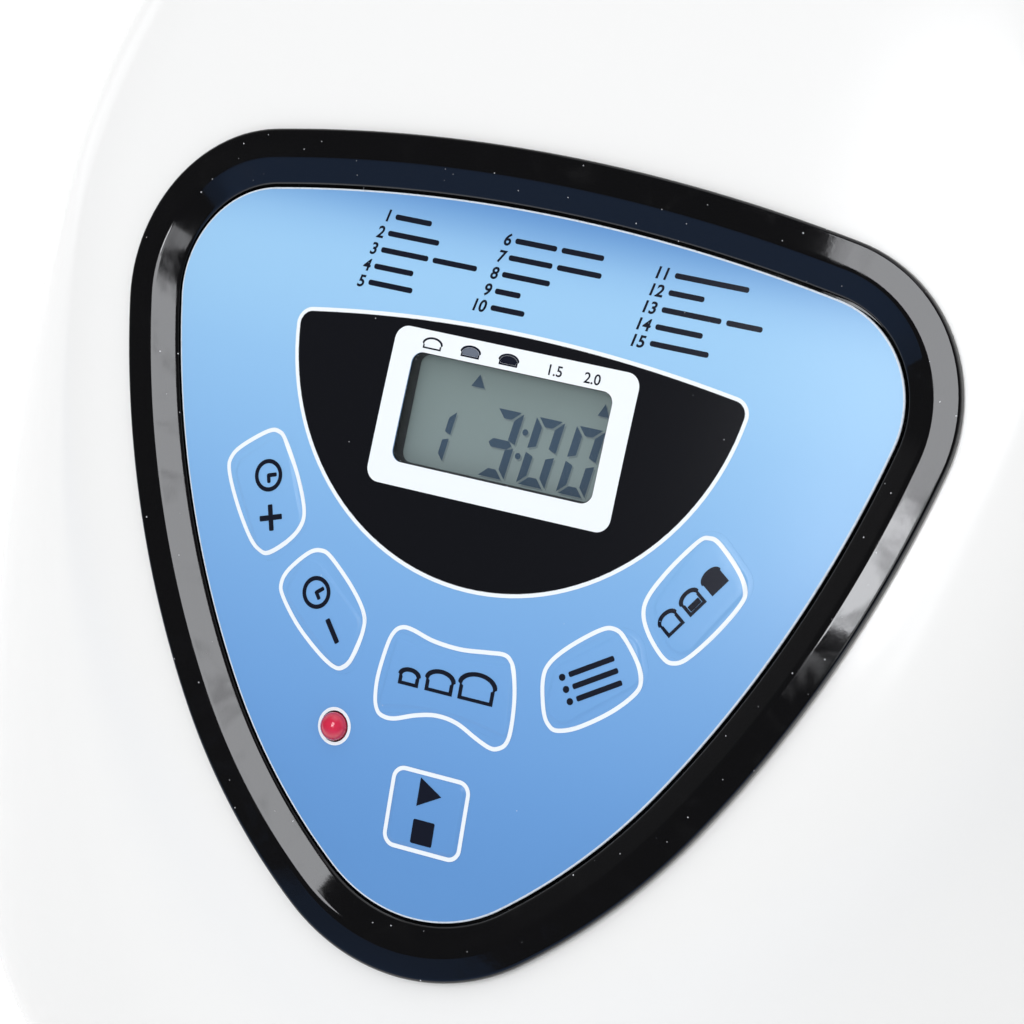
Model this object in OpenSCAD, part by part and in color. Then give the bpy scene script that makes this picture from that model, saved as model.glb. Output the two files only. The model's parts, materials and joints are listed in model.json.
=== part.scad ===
// Bread machine: a bulbous moulded body with a rounded-triangle control panel on its front, a baking
// chamber with a lift-out pan, and a windowed lid that is hinged at the rear and stands open.
// Millimetres, +Z up, the front faces -Y, X = 0 is the plane of symmetry, Z = 0 is the table.

/* [Body] */
// Width of the body at its widest
body_w = 244; // [238:1:256]
// Depth of the body from the nose to the rear wall
body_d = 315; // [308:1:330]
// Height of the split line between body and lid
seam_z = 244; // [243:1:248]
// Height at which the body is widest
widest_z = 100; // [80:1:120]
// Wall thickness of the moulded shells
wall = 2.6; // [2.2:0.1:3.2]
// Height of the rubber feet under the body
foot_h = 5; // [3:0.5:9]
// Gap between moulded pieces that sit against each other
fit_gap = 0.3; // [0.2:0.05:0.5]
// Width of the split line round the lid
seam_gap = 0.8; // [0.5:0.1:1.4]

/* [Lid] */
// Height of the lid above the split line
lid_h = 46; // [42:1:54]
// Angle that the lid stands open at
lid_open = 100; // [95:1:104]
// Width of the window in the lid
window_w = 116; // [90:1:120]
// Depth of the window in the lid
window_d = 66; // [50:1:72]

/* [Control panel] */
// Angle of the panel to the table
panel_tilt = 66; // [62:0.5:70]
// Height of the panel's middle above the table
panel_z = 151.7; // [148:0.1:156]
// Radius of the shallow dome that the panel and the face round it lie on
panel_dome_r = 620; // [500:10:900]
// Height of the blue plate's top edge above the panel's middle
plate_top = 51.2; // [50:0.1:53]
// Radius of the plate's top edge
plate_top_r = 332; // [300:1:360]
// Radius of the plate's two upper corners
plate_corner_r = 18.2; // [16:0.1:21]
// Radius of the plate's lower sides
plate_side_r = 110; // [100:1:120]
// Radius of the plate's lower corner
plate_tip_r = 27.8; // [26:0.1:30]
// Width of the black bezel round the plate
bezel_w = 10.2; // [9:0.1:12]
// Height of the bezel above the body
bezel_h = 1.75; // [1.2:0.05:3]
// Depth of the blue plate below the body's surface
plate_sink = 0.8; // [0.4:0.1:1.4]
// Thickness of the blue plate
plate_t = 2; // [1.6:0.1:2.4]
// Width of the display window
lcd_w = 38.7; // [36:0.1:41]
// Height of the display window
lcd_h = 19; // [17:0.1:21]
// Distance that a key travels
key_travel = 0.6; // [0.4:0.1:0.9]
// Diameter of the power lamp
led_d = 5; // [4:0.5:6]

/* [Baking chamber] */
// Space between the chamber and the body's widest level, on each side
side_space = 29; // [27:1:32]
// Space between the chamber and the body's nose
front_space = 135; // [131:1:140]
// Space between the chamber and the body's rear
back_space = 34; // [32:1:38]
// Radius of the chamber's upright corners
chamber_r = 22; // [18:1:28]
// Height of the chamber's floor
floor_z = 66; // [62:1:70]
// Sheet thickness of the chamber
sheet_t = 0.8; // [0.6:0.1:1.2]

/* [Bread pan] */
// Space between the pan and the chamber's wall
pan_space = 13; // [11:0.5:17]
// Height of the pan
pan_h = 128; // [110:1:134]
// Wall thickness of the pan
pan_t = 1.6; // [1.2:0.1:2]
// Width of the pan's flat rim
rim_w = 3; // [2:0.5:4]
// Space between the kneading paddle's sweep and the pan's long walls
paddle_space = 8; // [6:0.5:12]
// Diameter of the pan's handle wire
bail_d = 4; // [3:0.5:5]

/* [Drive] */
// Diameter of the drive shaft and of the pan's shaft
shaft_d = 8; // [7:0.5:9]
// Running gap round a shaft in its bush
running_gap = 0.05; // [0.03:0.01:0.1]
// Radius of the large pulley's belt seat
pulley_r = 46; // [40:1:48]
// Radius of the motor pulley's belt seat
motor_pulley_r = 8; // [7:0.5:10]
// Width of the belt
belt_w = 7.8; // [6:0.2:9]
// Thickness of the belt
belt_t = 2.4; // [2:0.1:3]
// Radius of the motor's can
motor_r = 32; // [28:1:34]

/* [Hidden] */
$fn = 48;

white = "#f5f5f4";
black = "#1e2022";
blue = "#8dbde9";
steel = "#b9bcc0";
dark = "#34383c";
nonstick = "#4a4d52";

// ---- Form of the body ----
// The front of each level section is half a superellipse, the nose; the rear is a rounded rectangle.
nose_power = 1.42;
rear_power = 3.4;
rear_len = 110;
nose_len_low = 60;
nose_len_growth = 12;
nose_lean = 70;
nose_lean_from = 178;
waist = 0.10;
tuck = 9;
tuck_h = 36;
crease_soft = 9;
panel_back = 39.8;
base_z = foot_h;
hinge_out = 5 + fit_gap + 0.2;
hinge_z = seam_z;
lid_power = 3.4;

// The machine stands so that its box, with the lid open, is centred over the origin.
lid_back = max([for (s = [0:0.02:1]) lid_reach(s)]);
nose_cut = min([for (z = [base_z:2:panel_z]) soft_max(tuck_at(z), face_back(0, z, 0), crease_soft)]);
nose_y = -(nose_cut + body_d + hinge_out + lid_back) / 2;
rear_y = nose_y + body_d;
hinge_y = rear_y + hinge_out;
chamber_w = body_w - 2 * side_space;
chamber_d = body_d - front_space - back_space;
chamber_y = nose_y + front_space + chamber_d / 2;
pan_w = chamber_w - 2 * pan_space;
pan_d = chamber_d - 2 * pan_space;
paddle_r = pan_d / 2 - paddle_space;
panel_y = nose_y + panel_back;

// How far behind the hinge the open lid's rounded top reaches, at share s of its plan size.
function lid_reach(s) =
  let (depth = body_d - face_back(0, seam_z, 0), y = -hinge_out - depth / 2 * (1 + s), z = lid_top(s))
  y * cos(lid_open) + z * sin(lid_open);
function lid_top(s) = lid_h * pow(1 - pow(s, lid_power), 1 / lid_power);

function over(a) = max(0, a);
function tuck_at(z) = tuck * pow(over(1 - (z - base_z) / tuck_h), 2.2);
function nose_front(z) = nose_y + nose_lean * pow(over(z - nose_lean_from) / 100, 2);
function nose_len(z) = nose_len_low + nose_len_growth * pow(over(z - 10) / 100, 2);
function half_w(z) = body_w / 2 * (1 - waist * pow(over(z - widest_z) / 120, 2));

// How far behind the nose the shallow dome that the panel sits on lies, at x, z of the front.
function face_back(x, z, e) =
  let (up = (z - panel_z) / sin(panel_tilt), drop = (x * x + up * up) / (2 * panel_dome_r) + e)
  panel_back + (z - panel_z) / tan(panel_tilt) + drop / sin(panel_tilt);
function face_y(x, z, e) = nose_y + face_back(x, z, e);
function soft_max(a, b, k) = let (h = over(k - abs(a - b)) / k) max(a, b) + h * h * k / 4;

// Where the panel's face cuts the nose at height z, as an angle of the nose's superellipse.
function cut_angle(z, e) =
  let (u = (face_y(half_w(z) * 0.7, z, e) - nose_front(z) - e) / nose_len(z))
  let (v = min(0.93, max(0.10, u)))
  acos(pow(1 - v, nose_power / 2));

// A point of the right half of the section at height z, at wall depth e; t runs over the nose.
function nose_pt(z, e, t) =
  let (a = half_w(z) - e - tuck_at(z), f = nose_front(z) + e + tuck_at(z),
       l = nose_len(z) - tuck_at(z) * 0.2, x = a * pow(sin(t), 2 / nose_power),
       y = f + l * (1 - pow(cos(t), 2 / nose_power)))
  [x, soft_max(y, face_y(x, z, e), crease_soft), z];
function rear_pt(z, e, t) =
  let (a = half_w(z) - e - tuck_at(z), b = rear_len - e - tuck_at(z))
  [a * pow(over(cos(t)), 2 / rear_power), rear_y - rear_len + b * pow(sin(t), 2 / rear_power), z];

face_steps = 5;
nose_steps = 9;
rear_steps = 9;
function half_ring(z, e) =
  let (c = cut_angle(z, e))
  concat([for (i = [0:face_steps - 1]) nose_pt(z, e, c * i / face_steps)],
    [for (i = [0:nose_steps]) nose_pt(z, e, c + (90 - c) * i / nose_steps)],
    [for (i = [0:rear_steps]) rear_pt(z, e, 90 * i / rear_steps)]);
function mirrored(p) = [-p[0], p[1], p[2]];
function ring(z, e) =
  let (h = half_ring(z, e), n = len(h))
  concat(h, [for (i = [n - 2:-1:1]) mirrored(h[i])]);
function flat_ring(z, e) = [for (p = ring(z, e)) [p[0], p[1]]];

// Surface through a closed series of rings, each with the same number of points.
function band_faces(rings, m, closed) = [
  for (i = [0:rings - (closed ? 1 : 2)]) for (j = [0:m - 1])
    let (a = i * m, b = ((i + 1) % rings) * m, k = (j + 1) % m)
    each [[a + j, b + j, a + k], [a + k, b + j, b + k]]];
module tube_loft(rings) {
  m = len(rings[0]);
  polyhedron([for (r = rings) each r], band_faces(len(rings), m, true), convexity = 6);
}
module capped_loft(rings) {
  m = len(rings[0]);
  n = len(rings);
  polyhedron([for (r = rings) each r],
    concat(band_faces(n, m, false), [[for (j = [0:m - 1]) j]], [[for (j = [m - 1:-1:0]) (n - 1) * m + j]]),
    convexity = 6);
}

// ---- Form of the control panel: five tangent arcs each side, from the top to the lower corner ----
arc_turn = [0, 9.5, 102.8, 124, 143.2, 180];
arc_steps = [3, 9, 4, 4, 6];
sweep = [for (i = [0:4]) sin(arc_turn[i + 1]) - sin(arc_turn[i])];
// The upper side's radius is the one that brings the lower corner back to the middle.
upper_side_r = -(plate_top_r * sweep[0] + plate_corner_r * sweep[1] + plate_side_r * sweep[3]
  + plate_tip_r * sweep[4]) / sweep[2];
arc_r = [plate_top_r, plate_corner_r, upper_side_r, plate_side_r, plate_tip_r];
function toward(a) = [sin(a), cos(a)];
function arc_centre(i) = i == 0 ? [0, plate_top - arc_r[0]]
  : arc_centre(i - 1) + (arc_r[i - 1] - arc_r[i]) * toward(arc_turn[i]);
function half_plate(d) = concat([for (i = [0:4]) for (k = [0:arc_steps[i] - 1])
  let (a = arc_turn[i] + (arc_turn[i + 1] - arc_turn[i]) * k / arc_steps[i])
  arc_centre(i) + (arc_r[i] + d) * toward(a)], [arc_centre(4) + (arc_r[4] + d) * toward(180)]);
// Outline of the plate, moved outward by d.
function plate_outline(d) =
  let (h = half_plate(d), n = len(h))
  concat(h, [for (i = [n - 2:-1:1]) [-h[i][0], h[i][1]]]);
function dome(x, y) = -(x * x + y * y) / (2 * panel_dome_r);

module on_panel() {
  translate([0, panel_y, panel_z]) rotate([panel_tilt, 0, 0]) children();
}
// Ring whose section is a list of [offset, height] points, laid round the plate on the dome.
module panel_ring(section) {
  tube_loft([for (s = section) [for (p = plate_outline(s[0])) [p[0], p[1], s[1] + dome(p[0], p[1])]]]);
}
// Part of the panel's domed layer between two depths that lies within a flat outline.
module dome_layer(top, bottom) {
  bands = 12;
  reach = 96;
  rim = function(depth, i) [reach * i / bands, depth + dome(reach * i / bands, 0)];
  intersection() {
    translate([0, 0, -40]) linear_extrude(60) children();
    rotate_extrude($fn = 128) polygon(concat([for (i = [0:bands]) rim(top, i)], [for (i = [bands:-1:0]) rim(bottom, i)]));
  }
}

module rounded_rect(w, h, r) {
  hull() for (x = [-1, 1]) for (y = [-1, 1]) translate([x * (w / 2 - r), y * (h / 2 - r)]) circle(r);
}
// Exact rounded rectangle, built from two bars and four discs.
module soft_rect(w, h, r) {
  square([w, h - 2 * r], center = true);
  square([w - 2 * r, h], center = true);
  for (x = [-1, 1]) for (y = [-1, 1]) translate([x * (w / 2 - r), y * (h / 2 - r)]) circle(r);
}
module frame_2d(w, h, r, t) {
  difference() {
    soft_rect(w, h, r);
    soft_rect(w - 2 * t, h - 2 * t, r - t);
  }
}
function soft_rect_ring(w, h, r, z) = [for (q = [0:3]) for (i = [0:5])
  let (a = 90 * q + 18 * i, sx = (q == 0 || q == 3) ? 1 : -1, sy = q < 2 ? 1 : -1)
  [sx * (w / 2 - r) + r * cos(a), sy * (h / 2 - r) + r * sin(a), z]];

// ---- Keys: circle centres of each left-hand outline, on the panel, anticlockwise ----
key_r = 4.2;
key_gap = 0.35;
key_flange = 1.2;
key_slack = 0.1;
time_up_key = [[-42.6, 0.9], [-46.9, -2.9], [-40.5, -12.9], [-37.8, -9]];
time_down_key = [[-30.7, -18.1], [-31.8, -20.9], [-21.8, -29], [-22, -24.8]];
start_key = [[7.8 - 2.5, -45.6 - 2.5], [-7.8 + 2.5, -45.6 - 2.5], [-7.8 + 2.5, -60 + 2.5], [7.8 - 2.5, -60 + 2.5]];
loaf_half_w = 13.6;
loaf_top = -24.4;
loaf_bottom = -36.4;
loaf_flare = 2.2;
loaf_corner = 2;

module disc_hull(pts, r) {
  hull() for (p = pts) translate(p) circle(r, $fn = 32);
}
module loaf_outline(d) {
  steps = 6;
  xs = [for (i = [-steps:steps]) i / steps];
  rise = function(u) loaf_flare * u * u;
  offset(r = loaf_corner + d, $fn = 32) offset(delta = -loaf_corner) polygon(concat(
    [for (u = xs) [u * (loaf_half_w + 0.8), loaf_bottom - rise(u)]],
    [for (i = [2 * steps:-1:0]) [xs[i] * (loaf_half_w - 0.8), loaf_top + rise(xs[i]) * 0.6]]));
}
module key_outline(which, d) {
  if (which == "time_up") disc_hull(time_up_key, key_r + d);
  if (which == "time_down") disc_hull(time_down_key, key_r + d);
  if (which == "menu") mirror([1, 0]) disc_hull(time_down_key, key_r + d);
  if (which == "crust_colour") mirror([1, 0]) disc_hull(time_up_key, key_r + d);
  if (which == "loaf_size") loaf_outline(d);
  if (which == "start_stop") disc_hull(start_key, 2.5 + d);
}
key_names = ["time_up", "time_down", "loaf_size", "menu", "crust_colour", "start_stop"];
key_at = [[-42, -6], [-26.6, -23.2], [0, -30.8], [26.6, -23.2], [42, -6], [0, -52.8]];

lcd_y = 14.3;
led_at = [-20.6, -42.2];
board_top = -13;
board_t = 1.6;
switch_h = 3.4;
plunger_h = 0.9;
plunger_r = 1.7;
stem_r = 2;
board_inset = 10;
post_at = [[-50, 30], [50, 30], [-34, -34], [34, -34]];
post_r = 3;
plate_edge = -0.3;
ledge_in = 3;
skirt_out = 6;
skirt_depth = 10;

key_proud = 0.3;
// Pad that fills its hole in the plate, flange that holds it in, and stem that presses the switch.
module key(i) {
  under = -plate_sink - plate_t - key_slack;
  at = key_at[i];
  stem_end = board_top + switch_h + plunger_h + key_travel + key_slack;
  color(blue) on_panel() {
    dome_layer(key_proud - plate_sink, under - 0.02) key_outline(key_names[i], -key_gap);
    dome_layer(under, under - key_flange) key_outline(key_names[i], key_flange);
    translate([at[0], at[1], stem_end]) cylinder(r = stem_r, h = dome(at[0], at[1]) + under - key_flange / 2 - stem_end);
  }
}

// ---- Moulded body ----
levels = [base_z, base_z + 3, base_z + 8, base_z + 15, base_z + 25, base_z + 36, 58, 78, 98, 118, 138, 158, 176, 192,
  206, 219, 232, seam_z];
deck_t = 3;
deck_z = seam_z - 11;
boss_r = 5;
boss_in = 12;
boss_h = 38;
boss_y = [nose_y + 102, rear_y - 76];
boss_at = [for (y = boss_y) [side_x(y, base_z + 3) - boss_in, y]];
boss_hole_r = 1.6;
plate_thick = 2.5;
vent_w = 3;
vent_pitch = 8;
vent_n = 7;
gland_x = -34;
gland_z = base_z + 38;
gland_r = 7;
// X of the outside of the right-hand wall, from behind the nose to the rear.
function side_x(y, z) =
  let (a = half_w(z) - tuck_at(z), s = pow(over(y - rear_y + rear_len) / (rear_len - tuck_at(z)), rear_power / 2))
  a * pow(1 - s * s, 1 / rear_power);
function wall_y(x, z) = rear_pt(z, 0, acos(pow(abs(x) / half_w(z), rear_power / 2)))[1];

module both_sides() {
  children();
  mirror([1, 0, 0]) children();
}

// The body's skin is three mouldings that meet at upright seams: the nose, a panel on each side, and the rear.
nose_seam = chamber_y - chamber_d / 2 - 3;
rear_seam = rear_y - 56;
module body_skin() {
  n = len(levels);
  difference() {
    union() {
      tube_loft(concat([for (z = levels) ring(z, 0)], [for (i = [n - 1:-1:0]) ring(levels[i], wall)]));
      for (b = boss_at) both_sides() translate([b[0], b[1], base_z + plate_thick + fit_gap]) {
        cylinder(r = boss_r, h = boss_h);
        translate([0, 1, 0]) rotate([90, 0, 0]) linear_extrude(2) polygon(concat([[0, boss_h - 2], [0, 0]],
          [for (i = [0:4]) let (h = (boss_h - 2) * i / 4) [side_x(b[1], base_z + 3 + h) - wall / 2 - b[0], h]]));
      }
    }
    on_panel() translate([0, 0, -22]) linear_extrude(40) polygon(plate_outline(skirt_out + fit_gap));
    for (b = boss_at) both_sides() translate([b[0], b[1], base_z]) cylinder(r = boss_hole_r, h = 30);
    for (i = [0:vent_n - 1]) translate([-body_w, rear_y - rear_len + vent_pitch * i, base_z + 18])
      cube([2 * body_w, vent_w, 26]);
    translate([gland_x, rear_y - 20, gland_z]) rotate([-90, 0, 0]) cylinder(r = gland_r, h = 40);
  }
}
// Slice of the body's skin between two upright planes across the machine.
module skin_between(y0, y1) {
  color(white) intersection() {
    body_skin();
    translate([-body_w, y0, -1]) cube([2 * body_w, y1 - y0, seam_z + 2]);
  }
}
module housing() { skin_between(nose_y - 20, nose_seam); }
module side_panels() { skin_between(nose_seam + fit_gap, rear_seam); }
module rear_cover() { skin_between(rear_seam + fit_gap, rear_y + 20); }

foot_at = [[body_w / 2 - 44, nose_y + 74], [body_w / 2 - 38, rear_y - 44]];
foot_r = 11;
stem_hole_r = 3.2;
module base_plate() {
  color(white) difference() {
    translate([0, 0, base_z]) linear_extrude(plate_thick) polygon(flat_ring(base_z, wall + fit_gap));
    for (f = foot_at) both_sides() translate([f[0], f[1], 0]) cylinder(r = stem_hole_r, h = 20);
    for (b = boss_at) both_sides() translate([b[0], b[1], 0]) cylinder(r = boss_hole_r + 0.4, h = 20);
    for (i = [-3:3]) translate([-24, chamber_y - 1.5 + 9 * i, 0]) cube([48, 3, 20]);
  }
}
module feet() {
  color(dark) for (f = foot_at) both_sides() translate([f[0], f[1], 0]) {
    rotate_extrude() polygon([[0, 0], [foot_r - 1, 0], [foot_r, 1], [foot_r, base_z - 0.5], [foot_r - 0.5, base_z], [0, base_z]]);
    cylinder(r = stem_hole_r - 0.1, h = base_z + plate_thick + 2);
  }
}
module screw(head_r, head_h, shank_r, length) {
  difference() {
    cylinder(r = head_r, h = head_h);
    for (a = [0, 90]) rotate([0, 0, a]) translate([-head_r * 0.6, -0.4, -0.01]) cube([head_r * 1.2, 0.8, head_h * 0.6]);
  }
  translate([0, 0, head_h - 0.01]) cylinder(r = shank_r, h = length);
}
module case_screws() {
  color(steel) {
    for (b = boss_at) both_sides() translate([b[0], b[1], base_z - 1.8]) screw(3.2, 1.8, boss_hole_r - 0.05, 16);
    on_panel() for (p = post_at) translate([p[0], p[1], board_top - board_t - 1.6]) screw(2.4, 1.6, 1.05, 7);
  }
}

chamber_out_w = chamber_w + 2 * sheet_t;
chamber_out_d = chamber_d + 2 * sheet_t;
flange_w = 5;
liner_top = deck_z + deck_t;
module top_deck() {
  color(white) translate([0, 0, deck_z]) difference() {
    linear_extrude(deck_t) difference() {
      polygon(flat_ring(deck_z + deck_t, wall + fit_gap));
      translate([0, chamber_y]) soft_rect(chamber_out_w + 2 * fit_gap, chamber_out_d + 2 * fit_gap, chamber_r + sheet_t + fit_gap);
    }
  }
}

// ---- Control panel ----
module panel_bezel() {
  crest = bezel_w * 0.55;
  color(black) on_panel() panel_ring([
    [bezel_w, fit_gap], [bezel_w, bezel_h - 0.4], [bezel_w - 0.4, bezel_h - 0.05], [crest + 0.5, bezel_h],
    [crest - 0.1, bezel_h - 0.08], [crest - 0.6, bezel_h - 0.28], [0.4, -plate_sink + 0.3], [0, 0.05 - plate_sink],
    [0, -plate_sink - plate_t - 0.05], [-ledge_in, -plate_sink - plate_t - 0.05],
    [-ledge_in, -plate_sink - plate_t - 1.6], [skirt_out - 2.2, -plate_sink - plate_t - 1.6],
    [skirt_out - 2.2, -skirt_depth], [skirt_out, -skirt_depth], [skirt_out, fit_gap]]);
}
module panel_plate() {
  color(blue) on_panel() difference() {
    union() {
      dome_layer(-plate_sink, -plate_sink - plate_t) polygon(plate_outline(plate_edge));
      for (p = post_at) translate([p[0], p[1], board_top])
        cylinder(r = post_r, h = dome(p[0], p[1]) - plate_sink - plate_t / 2 - board_top);
    }
    for (k = key_names) translate([0, 0, -20]) linear_extrude(30) key_outline(k, 0);
    translate([0, lcd_y, -20]) linear_extrude(30) soft_rect(lcd_w, lcd_h, 2);
    translate([led_at[0], led_at[1], -20]) cylinder(r = led_d / 2 + 0.15, h = 30);
    for (p = post_at) translate([p[0], p[1], board_top - 1]) cylinder(r = 1.1, h = 7);
  }
}
lcd_wall = 1.4;
glass_top = -4.4;
window_t = 0.8;
window_top = -1.6;
module lcd_window() {
  color("#c8d4d8") on_panel() translate([0, lcd_y, window_top - window_t]) linear_extrude(window_t)
    soft_rect(lcd_w - 0.1, lcd_h - 0.1, 1.95);
}
module lcd_module() {
  color("#7d8a8c") on_panel() translate([0, lcd_y, board_top]) {
    translate([0, 0, glass_top - board_top - 3]) linear_extrude(3) square([lcd_w + 5, lcd_h + 5], center = true);
    linear_extrude(glass_top - board_top - 2.9) frame_2d(lcd_w + 5, lcd_h + 5, 3, lcd_wall);
  }
}
module power_led() {
  r = led_d / 2;
  top = dome(led_at[0], led_at[1]) - plate_sink + 0.2;
  color("#c8203c") on_panel() translate([led_at[0], led_at[1], board_top]) {
    cylinder(r = r, h = top - board_top);
    cylinder(r = r + 0.4, h = 1);
    translate([0, 0, top - board_top]) intersection() {
      sphere(r);
      cylinder(r = r + 1, h = r);
    }
  }
}
module control_board() {
  color("#3d7a4a") on_panel() difference() {
    translate([0, 0, board_top - board_t]) linear_extrude(board_t) polygon(plate_outline(-board_inset));
    for (p = post_at) translate([p[0], p[1], board_top - 5]) cylinder(r = 1.5, h = 10);
  }
}
module tact_switches() {
  color(dark) on_panel() for (p = key_at) translate([p[0], p[1], board_top]) {
    translate([-3, -3, 0]) cube([6, 6, switch_h]);
    translate([0, 0, switch_h - 0.01]) cylinder(r = plunger_r, h = plunger_h);
  }
}

// ---- Baking chamber ----
element_r = 3.25;
element_w = chamber_w - 18;
element_d = chamber_d - 18;
element_corner = 22;
element_z = floor_z + sheet_t + 13;
element_gap = 12;
seat_r = 25 + 0.15 * pan_d;
seat_h = 12;
seat_t = 2.2;
sensor_at = [chamber_y + 34, floor_z + 46];
module chamber_liner() {
  color(steel) difference() {
    union() {
      translate([0, chamber_y, floor_z]) linear_extrude(liner_top - floor_z + sheet_t)
        soft_rect(chamber_out_w, chamber_out_d, chamber_r + sheet_t);
      translate([0, chamber_y, liner_top]) linear_extrude(sheet_t)
        soft_rect(chamber_out_w + 2 * flange_w, chamber_out_d + 2 * flange_w, chamber_r + flange_w);
    }
    translate([0, chamber_y, floor_z + sheet_t]) linear_extrude(200) soft_rect(chamber_w, chamber_d, chamber_r);
    translate([0, chamber_y, floor_z - 1]) cylinder(r = neck_r + 0.1, h = 5);
    for (x = [-1, 1]) translate([x * element_gap, chamber_y, element_z]) rotate([90, 0, 0]) cylinder(r = bush_r, h = chamber_d);
    translate([-chamber_w, sensor_at[0], sensor_at[1]]) rotate([0, 90, 0]) cylinder(r = sensor_r + running_gap, h = chamber_w);
  }
}
bush_r = 6;
sensor_r = 3;
module pan_seat() {
  color(steel) translate([0, chamber_y, floor_z + sheet_t]) rotate_extrude() polygon([
    [seat_r, 0], [seat_r + seat_t + 6, 0], [seat_r + seat_t + 6, 1.2], [seat_r + seat_t, 1.2],
    [seat_r + seat_t, seat_h - 1], [seat_r + seat_t - 0.6, seat_h], [seat_r + 0.8, seat_h], [seat_r, seat_h - 0.8]]);
}
collar_r = seat_r - fit_gap;
clip_w = 16;
clip_t = 0.8;
module pan_clips() {
  z0 = floor_z + sheet_t;
  color(steel) both_sides() translate([0, chamber_y + clip_w / 2, 0]) rotate([90, 0, 0]) linear_extrude(clip_w)
    polygon([[seat_r + 26, z0], [seat_r + 11, z0], [seat_r + fit_gap, z0 + 21], [seat_r + 3.4, z0 + 25.5],
      [seat_r + 4.2, z0 + 25.2], [seat_r + fit_gap + 1, z0 + 21], [seat_r + 11.6, z0 + clip_t],
      [seat_r + 26, z0 + clip_t]]);
}
// Quarter bend of the element's tube about the origin, from +X to +Y.
module bend(r, a) {
  rotate_extrude(angle = a) translate([r, 0]) circle(element_r);
}
module rod(a, b) {
  v = b - a;
  translate(a) rotate([0, acos(v[2] / norm(v)), atan2(v[1], v[0])]) cylinder(r = element_r, h = norm(v));
}
tail_bend = 6;
module heating_element() {
  w = element_w / 2;
  d = element_d / 2;
  c = element_corner;
  t = tail_bend;
  g = element_gap;
  color(dark) translate([0, chamber_y, element_z]) {
    rod([-w + c, d, 0], [w - c, d, 0]);
    both_sides() {
      translate([w - c, d - c, 0]) bend(c, 90);
      rod([w, -d + c, 0], [w, d - c, 0]);
      translate([w - c, -d + c, 0]) rotate([0, 0, -90]) bend(c, 90);
      rod([g + t, -d, 0], [w - c, -d, 0]);
      translate([g + t, -d - t, 0]) rotate([0, 0, 90]) bend(t, 90);
      rod([g, -d - t - 14, 0], [g, -d - t, 0]);
    }
  }
}
module element_supports() {
  z0 = floor_z + sheet_t;
  places = [[element_w / 2, 0, 90], [-element_w / 2, 0, 90], [0, element_d / 2, 0]];
  color(steel) for (p = places) translate([p[0], chamber_y + p[1], 0]) rotate([0, 0, p[2]]) difference() {
    translate([-5, -4.6, z0]) cube([10, 9.2, element_z - z0]);
    translate([-10, 0, element_z]) rotate([0, 90, 0]) cylinder(r = element_r + 0.05, h = 20);
  }
}
module element_bushes() {
  color("#e8e2d6") for (x = [-1, 1]) translate([x * element_gap, chamber_y - chamber_d / 2 + 3, element_z]) rotate([90, 0, 0]) difference() {
    union() {
      cylinder(r = bush_r - 0.02, h = 8);
      cylinder(r = bush_r + 2, h = 2.98);
    }
    translate([0, 0, -1]) cylinder(r = element_r + 0.05, h = 12);
  }
}
module temperature_sensor() {
  x0 = -chamber_out_w / 2;
  color(steel) translate([x0, sensor_at[0], sensor_at[1]]) rotate([0, 90, 0]) {
    translate([0, 0, -10]) cylinder(r = sensor_r, h = 18);
    translate([0, 0, 8]) sphere(sensor_r);
    translate([0, 0, -2.02]) cylinder(r = sensor_r + 3, h = 2);
  }
}

// ---- Chassis and drive ----
chassis_z = 46;
chassis_t = 1.2;
neck_r = 9;
shaft_r = shaft_d / 2;
bush_out = 6;
dog_z = floor_z + 15;
dog_r = 13;
prong_h = 5;
motor_at = [38, chamber_y - chamber_d / 2 - 45];
mount_t = 2.8;
pulley_z = 16;
pulley_h = 12;
belt_z = pulley_z + 2.1;
flange_r = belt_t + 1.6;
leg_at = [for (s = [-1, 1]) [chamber_w / 2 - 15, chamber_y + s * (chamber_d / 2 - 13)]];
leg_w = 14;
pillar_at = [for (s = [-1, 1]) [chamber_w / 2 - 23, s * (chamber_d / 2 - 23)]];
module chassis() {
  top = chassis_z + chassis_t;
  color(steel) difference() {
    union() {
      translate([0, chamber_y - 8, chassis_z]) linear_extrude(chassis_t) soft_rect(chamber_w - 14, chamber_d + 4, 10);
      translate([0, chamber_y - chamber_d / 2 - 37, chassis_z]) linear_extrude(chassis_t) soft_rect(chamber_w - 30, 90, 16);
      for (l = leg_at) both_sides() translate([l[0], l[1] - leg_w / 2, base_z + plate_thick]) {
        cube([chassis_t, leg_w, chassis_z - base_z - plate_thick + 0.5]);
        translate([-9, 0, 0]) cube([10, leg_w, chassis_t]);
      }
      for (p = pillar_at) both_sides() translate([p[0], chamber_y + p[1], chassis_z]) cylinder(r = 4, h = floor_z - chassis_z);
    }
    translate([0, chamber_y, chassis_z - 1]) cylinder(r = neck_r + 1, h = 5);
    translate([motor_at[0], motor_at[1], chassis_z - 1]) cylinder(r = 9, h = 5);
  }
}
module bearing_housing() {
  color("#9a9da1") translate([0, chamber_y, 0]) difference() {
    union() {
      translate([0, 0, chassis_z - 10]) cylinder(r = neck_r, h = floor_z + 8 - chassis_z + 10);
      translate([0, 0, chassis_z + chassis_t]) cylinder(r = 34, h = 3);
      translate([0, 0, chassis_z + chassis_t + 3]) cylinder(r1 = 16, r2 = neck_r, h = 7);
      for (a = [0:60:300]) rotate([0, 0, a]) translate([0, -1.25, chassis_z + chassis_t + 2]) cube([28, 2.5, 4]);
    }
    translate([0, 0, chassis_z - 11]) cylinder(r = bush_out, h = 60);
    for (a = [30:120:270]) rotate([0, 0, a]) translate([27, 0, chassis_z]) cylinder(r = 2, h = 8);
  }
}
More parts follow.
